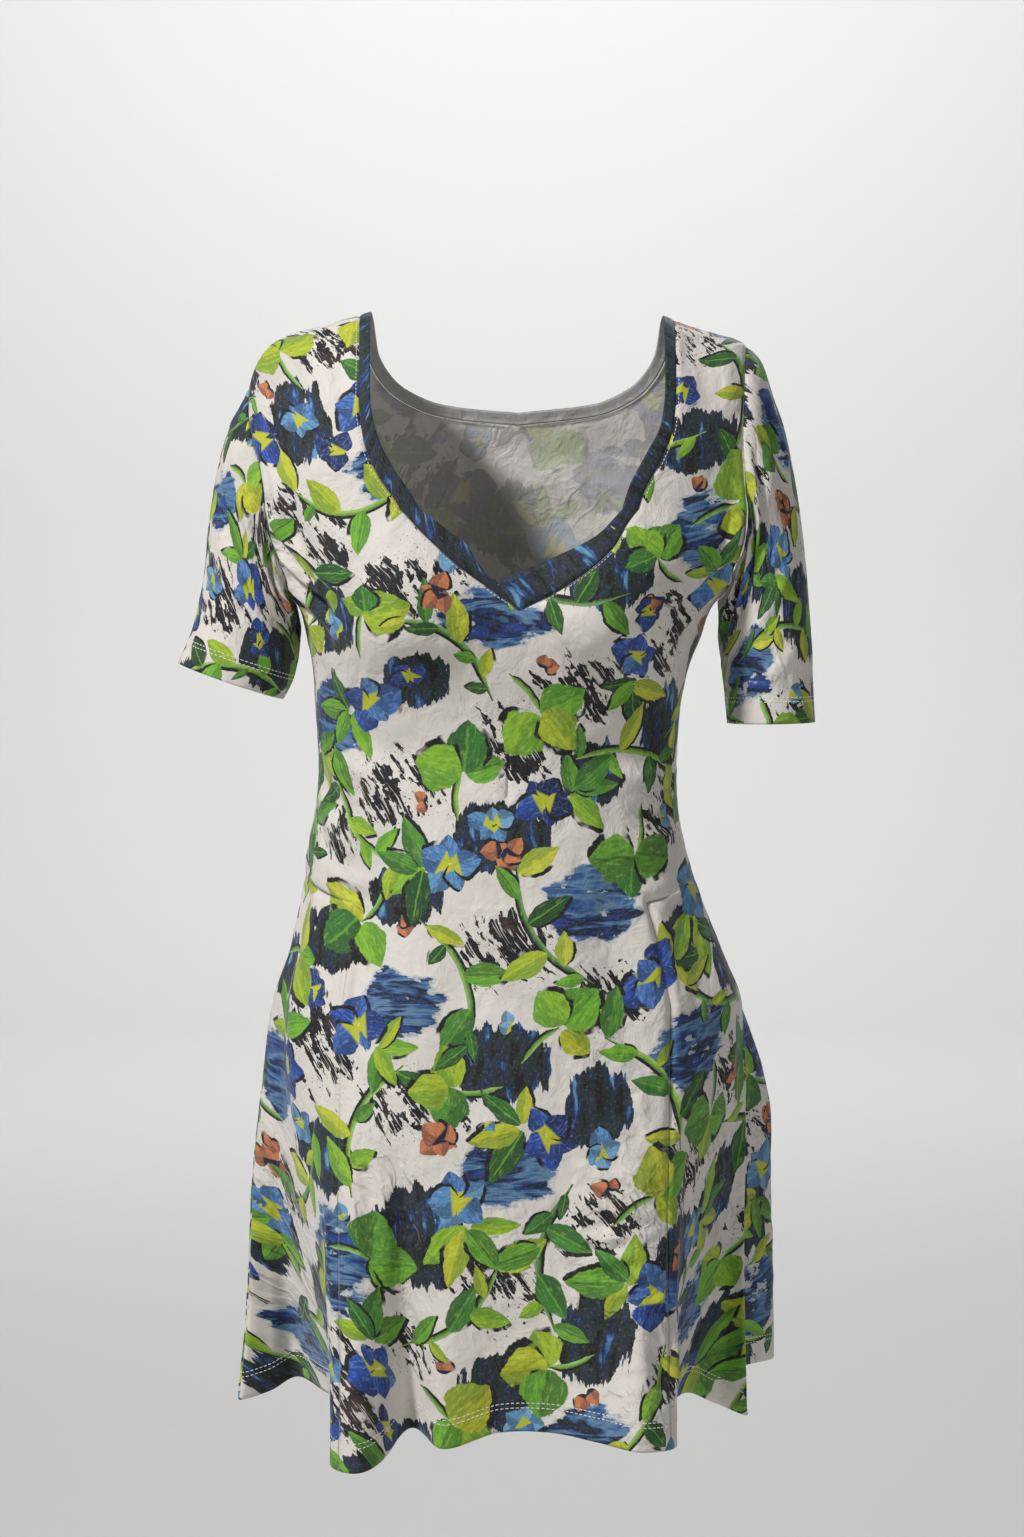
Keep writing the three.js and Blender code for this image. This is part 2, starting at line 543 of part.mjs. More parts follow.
// ---- the sleeves ---------------------------------------------------------------------------------------------------
function sleeve(side) {
  const piece = new Piece();
  const sign = side === 'left' ? 1 : -1;
  const tube = smoothTable(SLEEVES[side]);
  // turn goes round the tube: 0 on the shoulder, 90 in front, 180 under the arm, 270 behind
  const oval = (turn, share) => {
    const [outX, outZ, inX, inZ, front, back, midY] = tube(share);
    const c = Math.cos(turn * rad), s = Math.sin(turn * rad);
    return new THREE.Vector3((outX + inX) / 2 + ((outX - inX) / 2) * c, midY - (s > 0 ? front : back) * s,
      (outZ + inZ) / 2 + ((outZ - inZ) / 2) * c);
  };
  const surface = (turn, share) => {
    const isBack = turn > 180;
    const [u, level] = along(armhole[side][isBack ? 'back' : 'front'], isBack ? turn / 180 - 1 : 1 - turn / 180);
    const seam = cloth(u, level, isBack);
    return { p: oval(turn, share).add(seam.sub(oval(turn, 0)).multiplyScalar((1 - share) ** SLEEVE_EASE)), u, level, isBack };
  };
  const turns = [
    ...FRONT_RUNGS.filter((r) => r[1] >= 1).map((r) => 180 * (2 - r[1])).reverse(),
    ...BACK_RUNGS.filter((r) => r[1] > 1 && r[1] < 2).map((r) => 180 * r[1]),
  ];
  piece.grid(SLEEVE_SHARES.map((share) => {
    const row = turns.map((turn) => {
      const { p, u, level, isBack } = surface(turn, share);
      if (share > 0) return piece.point(p);
      p.add(surface(turn, 0.05).p.sub(p).normalize().multiplyScalar(SEAM_GAP * 1.8));
      const panel = throughCloth(u, level, isBack).normalize();
      const own = new THREE.Vector3(-Math.cos(turn * rad) * sign, Math.sin(turn * rad), 0);
      const w = (1 + Math.cos(turn * rad)) / 2;
      return piece.point(p, panel.multiplyScalar(w).add(own.multiplyScalar(1 - w)).normalize());
    });
    row.push(row[0]);
    return sign > 0 ? row : row.reverse();
  }));
  return piece;
}

// ---- assembly ------------------------------------------------------------------------------------------------------
const printedJersey = new THREE.MeshStandardMaterial({ name: 'printed_jersey', color: 0xcfcbc4, roughness: 0.82, metalness: 0, side: THREE.DoubleSide });
const bandJersey = new THREE.MeshStandardMaterial({ name: 'band_jersey', color: 0x4f7fa6, roughness: 0.82, metalness: 0, side: THREE.DoubleSide });

const dress = new THREE.Group();
function add(name, piece, material) {
  const mesh = new THREE.Mesh(piece.geometry(), material);
  mesh.name = name;
  dress.add(mesh);
}
add('front', front(), printedJersey);
add('back', back(), printedJersey);
add('side_skirt_right', sideSkirt(SIDE_RIGHT_U, FRONT_COLUMNS.right), printedJersey);
add('side_skirt_left', sideSkirt(SIDE_LEFT_U, FRONT_COLUMNS.left), printedJersey);
add('sleeve_right', sleeve('right'), printedJersey);
add('sleeve_left', sleeve('left'), printedJersey);
add('neck_band_right', frontBand('right'), bandJersey);
add('neck_band_left', frontBand('left'), bandJersey);
add('neck_band_back', backBand(), bandJersey);

export default dress;
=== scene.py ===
import math

import bpy
import numpy as np
from mathutils import Matrix, Vector
from mathutils.kdtree import KDTree


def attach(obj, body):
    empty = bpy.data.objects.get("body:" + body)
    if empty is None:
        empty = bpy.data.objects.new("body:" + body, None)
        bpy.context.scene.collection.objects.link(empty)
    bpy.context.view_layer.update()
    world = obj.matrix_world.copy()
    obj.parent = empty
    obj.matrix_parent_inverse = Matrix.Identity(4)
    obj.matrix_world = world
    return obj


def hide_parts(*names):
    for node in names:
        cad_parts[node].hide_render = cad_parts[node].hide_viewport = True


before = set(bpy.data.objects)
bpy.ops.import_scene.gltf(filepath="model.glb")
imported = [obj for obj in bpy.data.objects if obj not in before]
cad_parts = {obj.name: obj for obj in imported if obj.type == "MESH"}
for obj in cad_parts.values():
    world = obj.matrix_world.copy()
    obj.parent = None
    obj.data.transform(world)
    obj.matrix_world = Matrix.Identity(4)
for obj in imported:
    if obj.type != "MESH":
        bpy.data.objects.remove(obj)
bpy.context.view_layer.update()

RNG = np.random.default_rng(41)
MM = 0.001
RAD = math.pi / 180

# ---- camera ------------------------------------------------------------------------------------------------------
cam_data = bpy.data.cameras.new("camera")
cam_data.sensor_fit = "VERTICAL"
cam_data.sensor_height = 36
cam_data.sensor_width = 24
cam_data.lens = 81.2
cam_data.clip_end = 50
camera = bpy.data.objects.new("camera", cam_data)
bpy.context.scene.collection.objects.link(camera)
camera.location = (0.00675, -2.61356, -0.21575)
camera.rotation_euler = ((90 - 2.783) * RAD, 0, 0)
bpy.context.scene.camera = camera

# ---- the form of the dress: the same sizes and tables as the CAD, in millimetres -------------------------------------
SEAM_GAP = 0.3
CHEST_Z = -150
SHOULDER_SPAN = 100
WAIST_Z = -430
PANEL_DRIFT = 6
DRIFT_SHARE = 0.3
WAIST_SEAM_DIP = 10
WAIST_SEAM_RISE = 17
FOLD_POWER = 1.25
SLEEVE_EASE = 3
TOP = CHEST_Z + SHOULDER_SPAN
HEM_Z = -812

# z, right, left, front, back, square
SECTIONS = [
    (-812, 193, 186, 152, 156, 2.1),  # hem
    (-740, 188.5, 184, 148, 150, 2.1),  # low skirt
    (-660, 187, 183, 141, 143, 2.1),  # mid skirt
    (-580, 181, 184, 132, 136, 2.15),  # full hip
    (-520, 174, 181, 123, 128, 2.2),  # high hip
    (-480, 160, 165, 113, 116, 2.2),  # below waist
    (-430, 149, 143, 104, 102, 2.2),  # waist seam
    (-400, 146, 135, 98, 94, 2.2),  # above seam
    (-370, 141, 131, 93, 88, 2.2),  # low waist
    (-340, 139, 130.5, 90, 85, 2.2),  # waist
    (-300, 141, 133, 94, 88, 2.2),  # high waist
    (-268, 143, 139, 100, 92, 2.2),  # under bust
    (-242, 148, 149, 104, 96, 2.25),  # bust
    (-222, 153, 156, 106, 98, 2.3),  # underarm
    (-205, 169, 172, 106, 99, 2.35),  # armhole foot
    (-179, 185, 191, 104, 98, 2.45),  # armhole
    (-150, 197, 201, 99, 95, 2.5),  # chest
]
# x, z, out, wide, above, below
CUPS = [
    (-84, -236, 27, 50, 58, 42),  # wearer's right
    (84, -232, 28, 50, 58, 42),  # wearer's left
]
# x, z
SHOULDER = [
  [-201, -116], [-197, -88], [-193, -68], [-189, -51], [-185, -40], [-180, -31], [-167, -20], [-152, -14.5],
  [-133, -10], [-112, -4], [-99, 0], [-60, 10], [11, 16], [80, 10], [120, -3], [138, -10], [160, -16.5],
  [176, -21], [183, -26], [191, -35], [198, -56], [205, -80],
]
# edge x, edge z, seam x, seam z
NECK_RIGHT = [
    (-99, None, -107, None),  # shoulder
    (-97.5, -40, -105.5, -40),  # upper
    (-96.5, -70, -105, -72),  # chest
    (-91, -96, -101, -101),  # turn
    (-80, -119, -90.5, -126),  # middle
    (-65.6, -140, -75, -149.5),  # low
    (-51, -156.5, -61, -164.5),  # lower
    (-40, -165, -48, -177),  # near V
    (-26.5, -175, -29.5, -193.5),  # nearer V
    (-17, -190, -9.5, -208),  # turned
    (-6, -202, 11.5, -224),  # V
]
NECK_LEFT = [
    (120, None, 128, None),  # shoulder
    (119.5, -30, 127.5, -30),  # upper
    (119, -60, 127, -61),  # chest
    (116, -85, 124.5, -89),  # turn
    (103, -112, 113.5, -118),  # middle
    (92, -133, 102.5, -139),  # low
    (82, -155, 91, -160),  # lower
    (70, -167.5, 81, -177),  # curve
    (56, -176, 61, -195.5),  # flat
    (34, -186, 38, -211),  # flatter
    (-6, -202, 11.5, -224),  # V
]
NECK_BACK_MIDDLE = (11, -71, 11, -81)
NECK_BACK = [
    (-99, None, -107, None),  # right shoulder
    (-96, -24, -104.5, -27),  # right upper
    (-82, -48, -89, -55),  # right turn
    (-50, -64, -54, -73),  # right low
  NECK_BACK_MIDDLE,
    (72, -64, 76, -73),  # left low
    (103, -48, 110, -55),  # left turn
    (117, -24, 125.5, -27),  # left upper
    (120, None, 128, None),  # left shoulder
]
ARMHOLES = {
  "right": {
    "front": [[-190.5, None], [-190, -74], [-185.5, -98], [-179, -120], [-175.5, -148], [-170, -175], [-161, -198], [None, -219]],
    "back": [[-190.5, None], [-187, -82], [-179, -110], [-172, -140], [-166, -170], [-159, -198], [None, -219]],
  },
  "left": {
    "front": [[183, None], [178.5, -62], [176.5, -100], [179, -140], [179.5, -166], [170.5, -194], [None, -216]],
    "back": [[183, None], [176, -62], [170, -100], [169, -140], [171, -172], [167, -196], [None, -216]],
  },
}
# u, x, y, z, from, full
HEM = [
    (0, -2, -146, -814, 0.3, 1),  # middle of the front
    (-16, -44, -157, -823, 0.3, 1),  # right seam pleat
    (-28, -69, -133, -815, 0.3, 1),  # right hollow
    (-35, -86, -168, -829, 0.28, 1),
    (-42, -104, -189, -833, 0.26, 1),  # right front ridge
    (-48, -122, -171, -832, 0.26, 1),  # its edge
    (-57, -117, -119, -814, 0.26, 1),  # tucked behind it
    (-63, -123, -80, -806, 0.25, 1),
    (-69, -135, -45, -806, 0.2, 1),  # right side hollow
    (-76, -156, -10, -804, 0.15, 1),
    (-83, -176, -24, -812, 0.12, 1),
    (-90, -199, -33, -816, 0.1, 1),  # right side ridge
    (-97, -194, 12, -810, 0.1, 1),  # behind it
    (-106, -168, 52, -804, 0.15, 1),  # right back hollow
    (-119, -178, 122, -812, 0.2, 1),  # right back ridge
    (-134, -118, 112, -806, 0.25, 1),  # hollow
    (-148, -92, 178, -815, 0.22, 1),  # ridge
    (-163, -46, 143, -807, 0.3, 1),  # hollow
    (-175, -8, 167, -812, 0.35, 1),  # ridge
    (-190, 44, 134, -805, 0.25, 1),  # hollow
    (-204, 86, 184, -815, 0.18, 1),  # ridge
    (-219, 122, 130, -807, 0.15, 1),  # hollow
    (-238, 198, 132, -812, 0.03, 0.56),  # left back ridge
    (-246, 214, 104, -814, 0.03, 0.56),  # its edge
    (-257, 178, 46, -812, 0.05, 0.8),  # left back hollow
    (-264, 176, 4, -816, 0.1, 1),  # behind the side ridge
    (-270, 184, -37, -826, 0.1, 1),  # left side ridge
    (-279, 161, -22, -822, 0.15, 1),
    (-287, 139, -46, -808, 0.2, 1),  # left side hollow
    (-296, 124, -80, -809, 0.25, 1),
    (-303, 117, -120, -812, 0.26, 1),  # tucked behind
    (-312, 124, -167, -819, 0.26, 1),  # edge of the front
    (-320, 102, -189, -818, 0.26, 1),  # left front ridge
    (-333, 68, -172, -815, 0.3, 1),
    (-346, 35, -151, -813, 0.3, 1),
]
# along, outer x, outer z, inner x, inner z, front, back, middle y
SLEEVES = {
  "right": [
    [0, -192, -62, -152.5, -219, 52, 52, 0],
    [0.07, -201, -77, -152, -224, 53, 54, 0],
    [0.16, -209, -93, -151.5, -230, 52, 54, -1],
    [0.3, -215.5, -124, -151, -238, 50, 53, -3],
    [0.47, -221, -160, -152, -248, 48, 50, -5],
    [0.65, -224.5, -198, -154, -262, 46, 48, -8],
    [0.83, -232, -236, -158, -277, 45, 46, -10],
    [1, -243, -263, -165, -290, 44, 45, -12],
  ],
  "left": [
    [0, 184, -27, 158.5, -216, 52, 52, 0],
    [0.05, 194, -38, 159, -221, 54, 54, 0],
    [0.12, 203, -64, 160, -227, 54, 55, 0],
    [0.2, 211, -85, 160.5, -234, 53, 55, -1],
    [0.32, 217, -114, 161, -245, 50, 54, -3],
    [0.45, 222, -145, 162.5, -256, 48, 52, -6],
    [0.6, 227, -190, 164, -269, 46, 49, -9],
    [0.8, 231.5, -245, 166.5, -288, 44, 46, -12],
    [1, 233.5, -307, 168.5, -308, 42, 44, -14],
  ],
}
# middle, side
FRONT_RUNGS = [[0, 0], [0.17, 0.17], [0.34, 0.34], [0.5, 0.5], [0.64, 0.64], [0.77, 0.77], [0.89, 0.9], [1, 1],
  [1.07, 1.12], [1.15, 1.22], [1.25, 1.32], [1.36, 1.42], [1.47, 1.52], [1.58, 1.62], [1.69, 1.73], [1.8, 1.83], [1.9, 1.92], [2, 2]]
BACK_RUNGS = [[0, 0], [0.14, 0.2], [0.28, 0.4], [0.41, 0.6], [0.54, 0.8], [0.67, 1], [0.79, 1.14], [0.9, 1.28],
  [1, 1.42], [1.1, 1.5], [1.22, 1.58], [1.36, 1.66], [1.52, 1.75], [1.68, 1.84], [1.84, 1.92], [2, 2]]


def smooth_table(rows):
    a = np.array(sorted(rows, key=lambda r: r[0]), float)
    x, y = a[:, 0], a[:, 1:]
    h = np.diff(x)
    d = np.diff(y, axis=0) / h[:, None]
    m = np.zeros_like(y)
    for i in range(1, len(x) - 1):
        same = d[i - 1] * d[i] > 0
        h0, h1 = h[i - 1], h[i]
        with np.errstate(divide="ignore", invalid="ignore"):
            m[i] = np.where(same, 3 * (h0 + h1) / ((2 * h1 + h0) / d[i - 1] + (h1 + 2 * h0) / d[i]), 0)
    m[0], m[-1] = d[0], d[-1]

    def f(at):
        q = np.clip(np.asarray(at, float), x[0], x[-1])
        i = np.clip(np.searchsorted(x, q, side="left") - 1, 0, len(x) - 2)
        k = h[i]
        t = ((q - x[i]) / k)[..., None]
        k = k[..., None]
        t2, t3 = t * t, t * t * t
        out = (2 * t3 - 3 * t2 + 1) * y[i] + (t3 - 2 * t2 + t) * k * m[i] + (-2 * t3 + 3 * t2) * y[i + 1] + (t3 - t2) * k * m[i + 1]
        return np.moveaxis(out, -1, 0)
    return f


def closed_table(rows):
    a = np.array(sorted(((r[0] % 360,) + tuple(r[1:]) for r in rows), key=lambda r: r[0]), float)
    n = len(a)
    ext = np.concatenate([a[-3:] - np.array([360] + [0] * 5), a, a[:3] + np.array([360] + [0] * 5)])
    x, y = ext[:, 0], ext[:, 1:]
    h = np.diff(x)
    d = np.diff(y, axis=0) / h[:, None]
    m = np.zeros_like(y)
    m[1:-1] = (d[:-1] * h[1:, None] + d[1:] * h[:-1, None]) / (h[:-1] + h[1:])[:, None]

    def f(u):
        q = np.mod(np.asarray(u, float), 360)
        i = np.clip(np.searchsorted(x, q, side="right") - 1, 1, len(x) - 3)
        k = h[i]
        t = ((q - x[i]) / k)[..., None]
        k = k[..., None]
        t2, t3 = t * t, t * t * t
        out = (2 * t3 - 3 * t2 + 1) * y[i] + (t3 - 2 * t2 + t) * k * m[i] + (-2 * t3 + 3 * t2) * y[i + 1] + (t3 - t2) * k * m[i + 1]
        return np.moveaxis(out, -1, 0)
    return f


section = smooth_table(SECTIONS)
_shoulder = smooth_table(SHOULDER)
hem_at = closed_table(HEM)


def shoulder_z(x):
    return _shoulder(x)[0]


def ring(u, z):
    right, left, front, back, square = section(z)
    across, along_ = np.sin(u * RAD), np.cos(u * RAD)
    e = 2 / square
    x = np.sign(across) * np.where(across < 0, right, left) * np.abs(across) ** e
    y = -np.sign(along_) * np.where(along_ > 0, front, back) * np.abs(along_) ** e
    return x, y


def cup_push(x, z):
    push = np.zeros_like(x)
    for cx, cz, out, wide, above, below in CUPS:
        dz = (z - cz) / np.where(z > cz, above, below)
        push = push + out * np.exp(-(((x - cx) / wide) ** 2) - dz * dz)
    return push


def cloth(u, level, is_back):
    u, level = np.broadcast_arrays(np.asarray(u, float), np.asarray(level, float))
    z = np.minimum(level, CHEST_Z)
    x, y = ring(u, z)
    if not is_back:
        y = y - cup_push(x, level) * np.minimum(1, np.maximum(0, -y) / 60)
    turn = np.maximum(0, (level - CHEST_Z) / SHOULDER_SPAN) * 90 * RAD
    y = y * np.cos(turn)
    height = np.where(level > CHEST_Z, CHEST_Z + (shoulder_z(x) - CHEST_Z) * np.sin(turn), z)
    away = np.abs(np.sin(u * RAD))
    height = height + (WAIST_SEAM_RISE * away ** 6 - WAIST_SEAM_DIP) * np.exp(-(((level - WAIST_Z) / 45) ** 2))
    return np.stack([x, y + (1 if is_back else -1) * 0.1, height], -1)


def drift(u, share):
    t = np.clip(share / DRIFT_SHARE, 0, 1)
    return np.where(np.abs(u) >= 90, u, u - PANEL_DRIFT * t * t * (3 - 2 * t) * np.sin(2 * u * RAD))


def skirt(u, share, is_back):
    u, share = np.broadcast_arrays(np.asarray(u, float), np.asarray(share, float))
    hx, hy, hz, start, full = hem_at(u)
    p = cloth(drift(u, share), WAIST_Z + share * (HEM_Z - WAIST_Z), is_back)
    bx, by = ring(drift(u, 1.0), np.full_like(u, HEM_Z))
    t = np.clip((share - start) / (full - start), 0, 1)
    soft = np.minimum(1, (1 - full) * 3)
    fold = t ** FOLD_POWER * (1 - 0.25 * t * (1 - t)) * (1 - soft) + t * t * (3 - 2 * t) * soft
    return p + fold[..., None] * np.stack([hx - bx, hy - by, hz - HEM_Z], -1)


def place(x, z, back):
    if z is None:
        level = TOP
    elif z <= CHEST_Z:
        level = z
    else:
        level = CHEST_Z + math.asin(min(1, (z - CHEST_Z) / (float(shoulder_z(x)) - CHEST_Z))) / RAD / 90 * SHOULDER_SPAN
    right, left, _, _, square = (float(v) for v in section(min(level, CHEST_Z)))
    share = min(1, abs(x) / (right if x < 0 else left)) ** (square / 2)
    u = math.asin(share) / RAD * (1 if x > 0 else -1 if x < 0 else 0)
    return (180 - u if back else u, level)


def drawn(rows, back, side=None, steps=120):
    side_seam = 90 if side == "left" else 270 if back else -90
    known = np.array([(side_seam, z) if x is None else place(x, z, back) for x, z in rows], float)
    points = cloth(known[:, 0], known[:, 1], back)
    length = np.concatenate([[0], np.cumsum(np.linalg.norm(np.diff(points, axis=0), axis=1))])
    curve = smooth_table([(length[i], known[i, 0], known[i, 1]) for i in range(len(known))])
    return np.moveaxis(curve(np.linspace(0, length[-1], steps + 1)), 0, -1)


def along(curve, share):
    q = np.clip(np.asarray(share, float), 0, 1) * (len(curve) - 1)
    i = np.minimum(np.floor(q).astype(int), len(curve) - 2)
    t = (q - i)[..., None]
    return curve[i] + (curve[i + 1] - curve[i]) * t


def neck_line(rows, x, z, back):
    return drawn([(r[x], r[z]) for r in rows], back)


MIDDLE = NECK_BACK.index(NECK_BACK_MIDDLE)
neck_seam = {
    "right": neck_line(NECK_RIGHT[::-1], 2, 3, False), "left": neck_line(NECK_LEFT[::-1], 2, 3, False),
    "back_right": neck_line(NECK_BACK[:MIDDLE + 1][::-1], 2, 3, True), "back_left": neck_line(NECK_BACK[MIDDLE:], 2, 3, True),
}
neck_edge = {
    "right": neck_line(NECK_RIGHT[::-1], 0, 1, False), "left": neck_line(NECK_LEFT[::-1], 0, 1, False),
    "back_right": neck_line(NECK_BACK[:MIDDLE + 1][::-1], 0, 1, True), "back_left": neck_line(NECK_BACK[MIDDLE:], 0, 1, True),
}
armhole = {
    side: {"front": drawn(ARMHOLES[side]["front"][::-1], False, side), "back": drawn(ARMHOLES[side]["back"][::-1], True, side)}
    for side in ("right", "left")
}


def finer(rows, per):
    """The rows of a table of numbers with per extra steps of equal share between each two."""
    out = []
    for (a, b), n in zip(zip(rows[:-1], rows[1:]), per):
        for k in range(n):
            out.append([p + (q - p) * k / n for p, q in zip(a, b)])
    out.append(list(rows[-1]))
    return np.array(out)


def rungs(table, middle_u, side_u, neck, arm):
    def end(t, straight_u, curve):
        foot = curve[0]
        low = np.stack([straight_u + (foot[0] - straight_u) * t, WAIST_Z + (foot[1] - WAIST_Z) * t], -1)
        return np.where((t <= 1)[:, None], low, along(curve, t - 1))
    return end(table[:, 0], middle_u, neck), end(table[:, 1], side_u, arm)


def half_bodice(cols, table, middle_u, side_u, neck, arm):
    """u and level of a grid of rows, rung by rung from the waist seam up, cols in the order given."""
    inner, outer = rungs(table, middle_u, side_u, neck, arm)
    share = (np.abs(cols - middle_u) / abs(side_u - middle_u))[None, :, None]
    return inner[:, None, :] + (outer - inner)[:, None, :] * share


# ---- cut coordinates: millimetres along the cloth from a middle line (U) and up from the waist seam (V) ---------------
class Chart:
    def __init__(self, is_back):
        self.u = np.arange(90, 271, 1.0) if is_back else np.arange(-90, 91, 1.0)
        self.levels = np.concatenate([np.linspace(HEM_Z, WAIST_Z, 97), np.arange(WAIST_Z + 4, TOP + 0.1, 4.0)])
        uu, ll = np.meshgrid(self.u, self.levels)
        top = cloth(uu, ll, is_back)
        low = skirt(uu, (ll - WAIST_Z) / (HEM_Z - WAIST_Z), is_back)
        p = np.where((ll < WAIST_Z)[..., None], low, top)
        step = np.linalg.norm(np.diff(p, axis=1), axis=2)
        run = np.concatenate([np.zeros((len(p), 1)), np.cumsum(step, axis=1)], axis=1)
        mid = run[:, 90:91]
        self.U = run - mid
        rise = np.linalg.norm(np.diff(p, axis=0), axis=2)
        up = np.concatenate([np.zeros((1, p.shape[1])), np.cumsum(rise, axis=0)], axis=0)
        at = int(np.argmin(np.abs(self.levels - WAIST_Z)))
        self.V = up - up[at:at + 1, :]

    def __call__(self, u, level):
        fu = np.clip((u - self.u[0]), 0, len(self.u) - 1.001)
        fl = np.interp(level, self.levels, np.arange(len(self.levels)))
        fl = np.clip(fl, 0, len(self.levels) - 1.001)
        i, j = fl.astype(int), fu.astype(int)
        a, b = fl - i, fu - j
        out = []
        for t in (self.U, self.V):
            out.append((t[i, j] * (1 - b) + t[i, j + 1] * b) * (1 - a) + (t[i + 1, j] * (1 - b) + t[i + 1, j + 1] * b) * a)
        return np.stack(out, -1)


chart_front, chart_back = Chart(False), Chart(True)


def level_of(share):
    return WAIST_Z + share * (HEM_Z - WAIST_Z)

# ---- noise, creases and sheets of cloth ---------------------------------------------------------------------------
def _hash(ix, iy, iz, seed):
    h = (ix * 73856093) ^ (iy * 19349663) ^ (iz * 83492791) ^ (seed * 2654435761)
    h = (h ^ (h >> 13)) * 1274126177
    h = h & 0x7FFFFFFF
    h = (h ^ (h >> 16)) * 1103515245
    return ((h & 0x7FFFFFFF) / 0x7FFFFFFF) * 2 - 1


def vnoise(p, size, seed=1):
    """Smooth noise from -1 to 1 at points p in millimetres, with lumps about size across (a number or one for each axis)."""
    q = p / np.asarray(size, float)
    i = np.floor(q).astype(np.int64)
    f = q - i
    f = f * f * (3 - 2 * f)
    total = 0
    for dx in (0, 1):
        for dy in (0, 1):
            for dz in (0, 1):
                w = (f[:, 0] if dx else 1 - f[:, 0]) * (f[:, 1] if dy else 1 - f[:, 1]) * (f[:, 2] if dz else 1 - f[:, 2])
                total = total + w * _hash(i[:, 0] + dx, i[:, 1] + dy, i[:, 2] + dz, seed)
    return total


def ease(t):
    t = np.clip(t, 0, 1)
    return t * t * (3 - 2 * t)


def curve_through(points, step=4.0):
    """A smooth line through given (U, V) points."""
    p = np.array(points, float)
    if len(p) == 2:
        n = max(2, int(np.linalg.norm(p[1] - p[0]) / step) + 1)
        return p[0] + (p[1] - p[0]) * np.linspace(0, 1, n)[:, None]
    ext = np.concatenate([[2 * p[0] - p[1]], p, [2 * p[-1] - p[-2]]])
    out = []
    for i in range(1, len(ext) - 2):
        a, b, c, d = ext[i - 1:i + 3]
        n = max(2, int(np.linalg.norm(c - b) / step))
        t = np.linspace(0, 1, n, endpoint=False)[:, None]
        out.append(0.5 * ((2 * b) + (c - a) * t + (2 * a - 5 * b + 4 * c - d) * t ** 2 + (3 * b - a - 3 * c + d) * t ** 3))
    out.append(p[-1:])
    return np.concatenate(out)


def to_line(cut, line, reach):
    """For each (U, V): which are within reach of the line, their signed distance to it, and how far along it (0 to 1) they are."""
    lo, hi = line.min(axis=0) - reach, line.max(axis=0) + reach
    near = np.nonzero(((cut >= lo) & (cut <= hi)).all(axis=1))[0]
    if not len(near):
        return near, np.zeros(0), np.zeros(0)
    q = cut[near]
    a, b = line[:-1], line[1:]
    ab = b - a
    length = np.linalg.norm(ab, axis=1)
    start = np.concatenate([[0], np.cumsum(length)])
    ap = q[:, None, :] - a[None]
    t = np.clip((ap * ab[None]).sum(2) / np.maximum(1e-9, (ab * ab).sum(1))[None], 0, 1)
    off = ap - ab[None] * t[..., None]
    d = np.linalg.norm(off, axis=2)
    k = np.argmin(d, axis=1)
    r = np.arange(len(near))
    side = np.sign(ab[k, 0] * ap[r, k, 1] - ab[k, 1] * ap[r, k, 0])
    far = (start[k] + t[r, k] * length[k]) / start[-1]
    return near, d[r, k] * np.where(side == 0, 1, side), far


def crease_height(cut, rows):
    """The sum of the listed creases. A row is (points, height, width, kind, open ends).
    kind: soft is a rounded ridge or trough, sharp is one pinched line, fold is steep on its left and long on its right."""
    total = np.zeros(len(cut))
    for points, height, width, kind, ends in rows:
        line = curve_through(points)
        near, d, far = to_line(cut, line, 3.2 * width)
        if not len(near):
            continue
        q = d / width
        if kind == "soft":
            shape = np.exp(-q * q) - 0.28 * np.exp(-((np.abs(q) - 1.8) / 0.8) ** 2)
        elif kind == "sharp":
            shape = np.exp(-np.abs(q) ** 1.25 * 1.3) - 0.3 * np.exp(-((np.abs(q) - 1.7) / 0.8) ** 2)
        else:
            shape = np.where(q > 0, np.exp(-(q / 0.55) ** 2), np.exp(-(q / 1.45) ** 2)) - 0.4 * np.exp(-((q - 1.15) / 0.6) ** 2)
        a = 1 if "a" in ends else ease(far / 0.3)
        b = 1 if "b" in ends else ease((1 - far) / 0.3)
        total[near] += height * shape * a * b
    return total


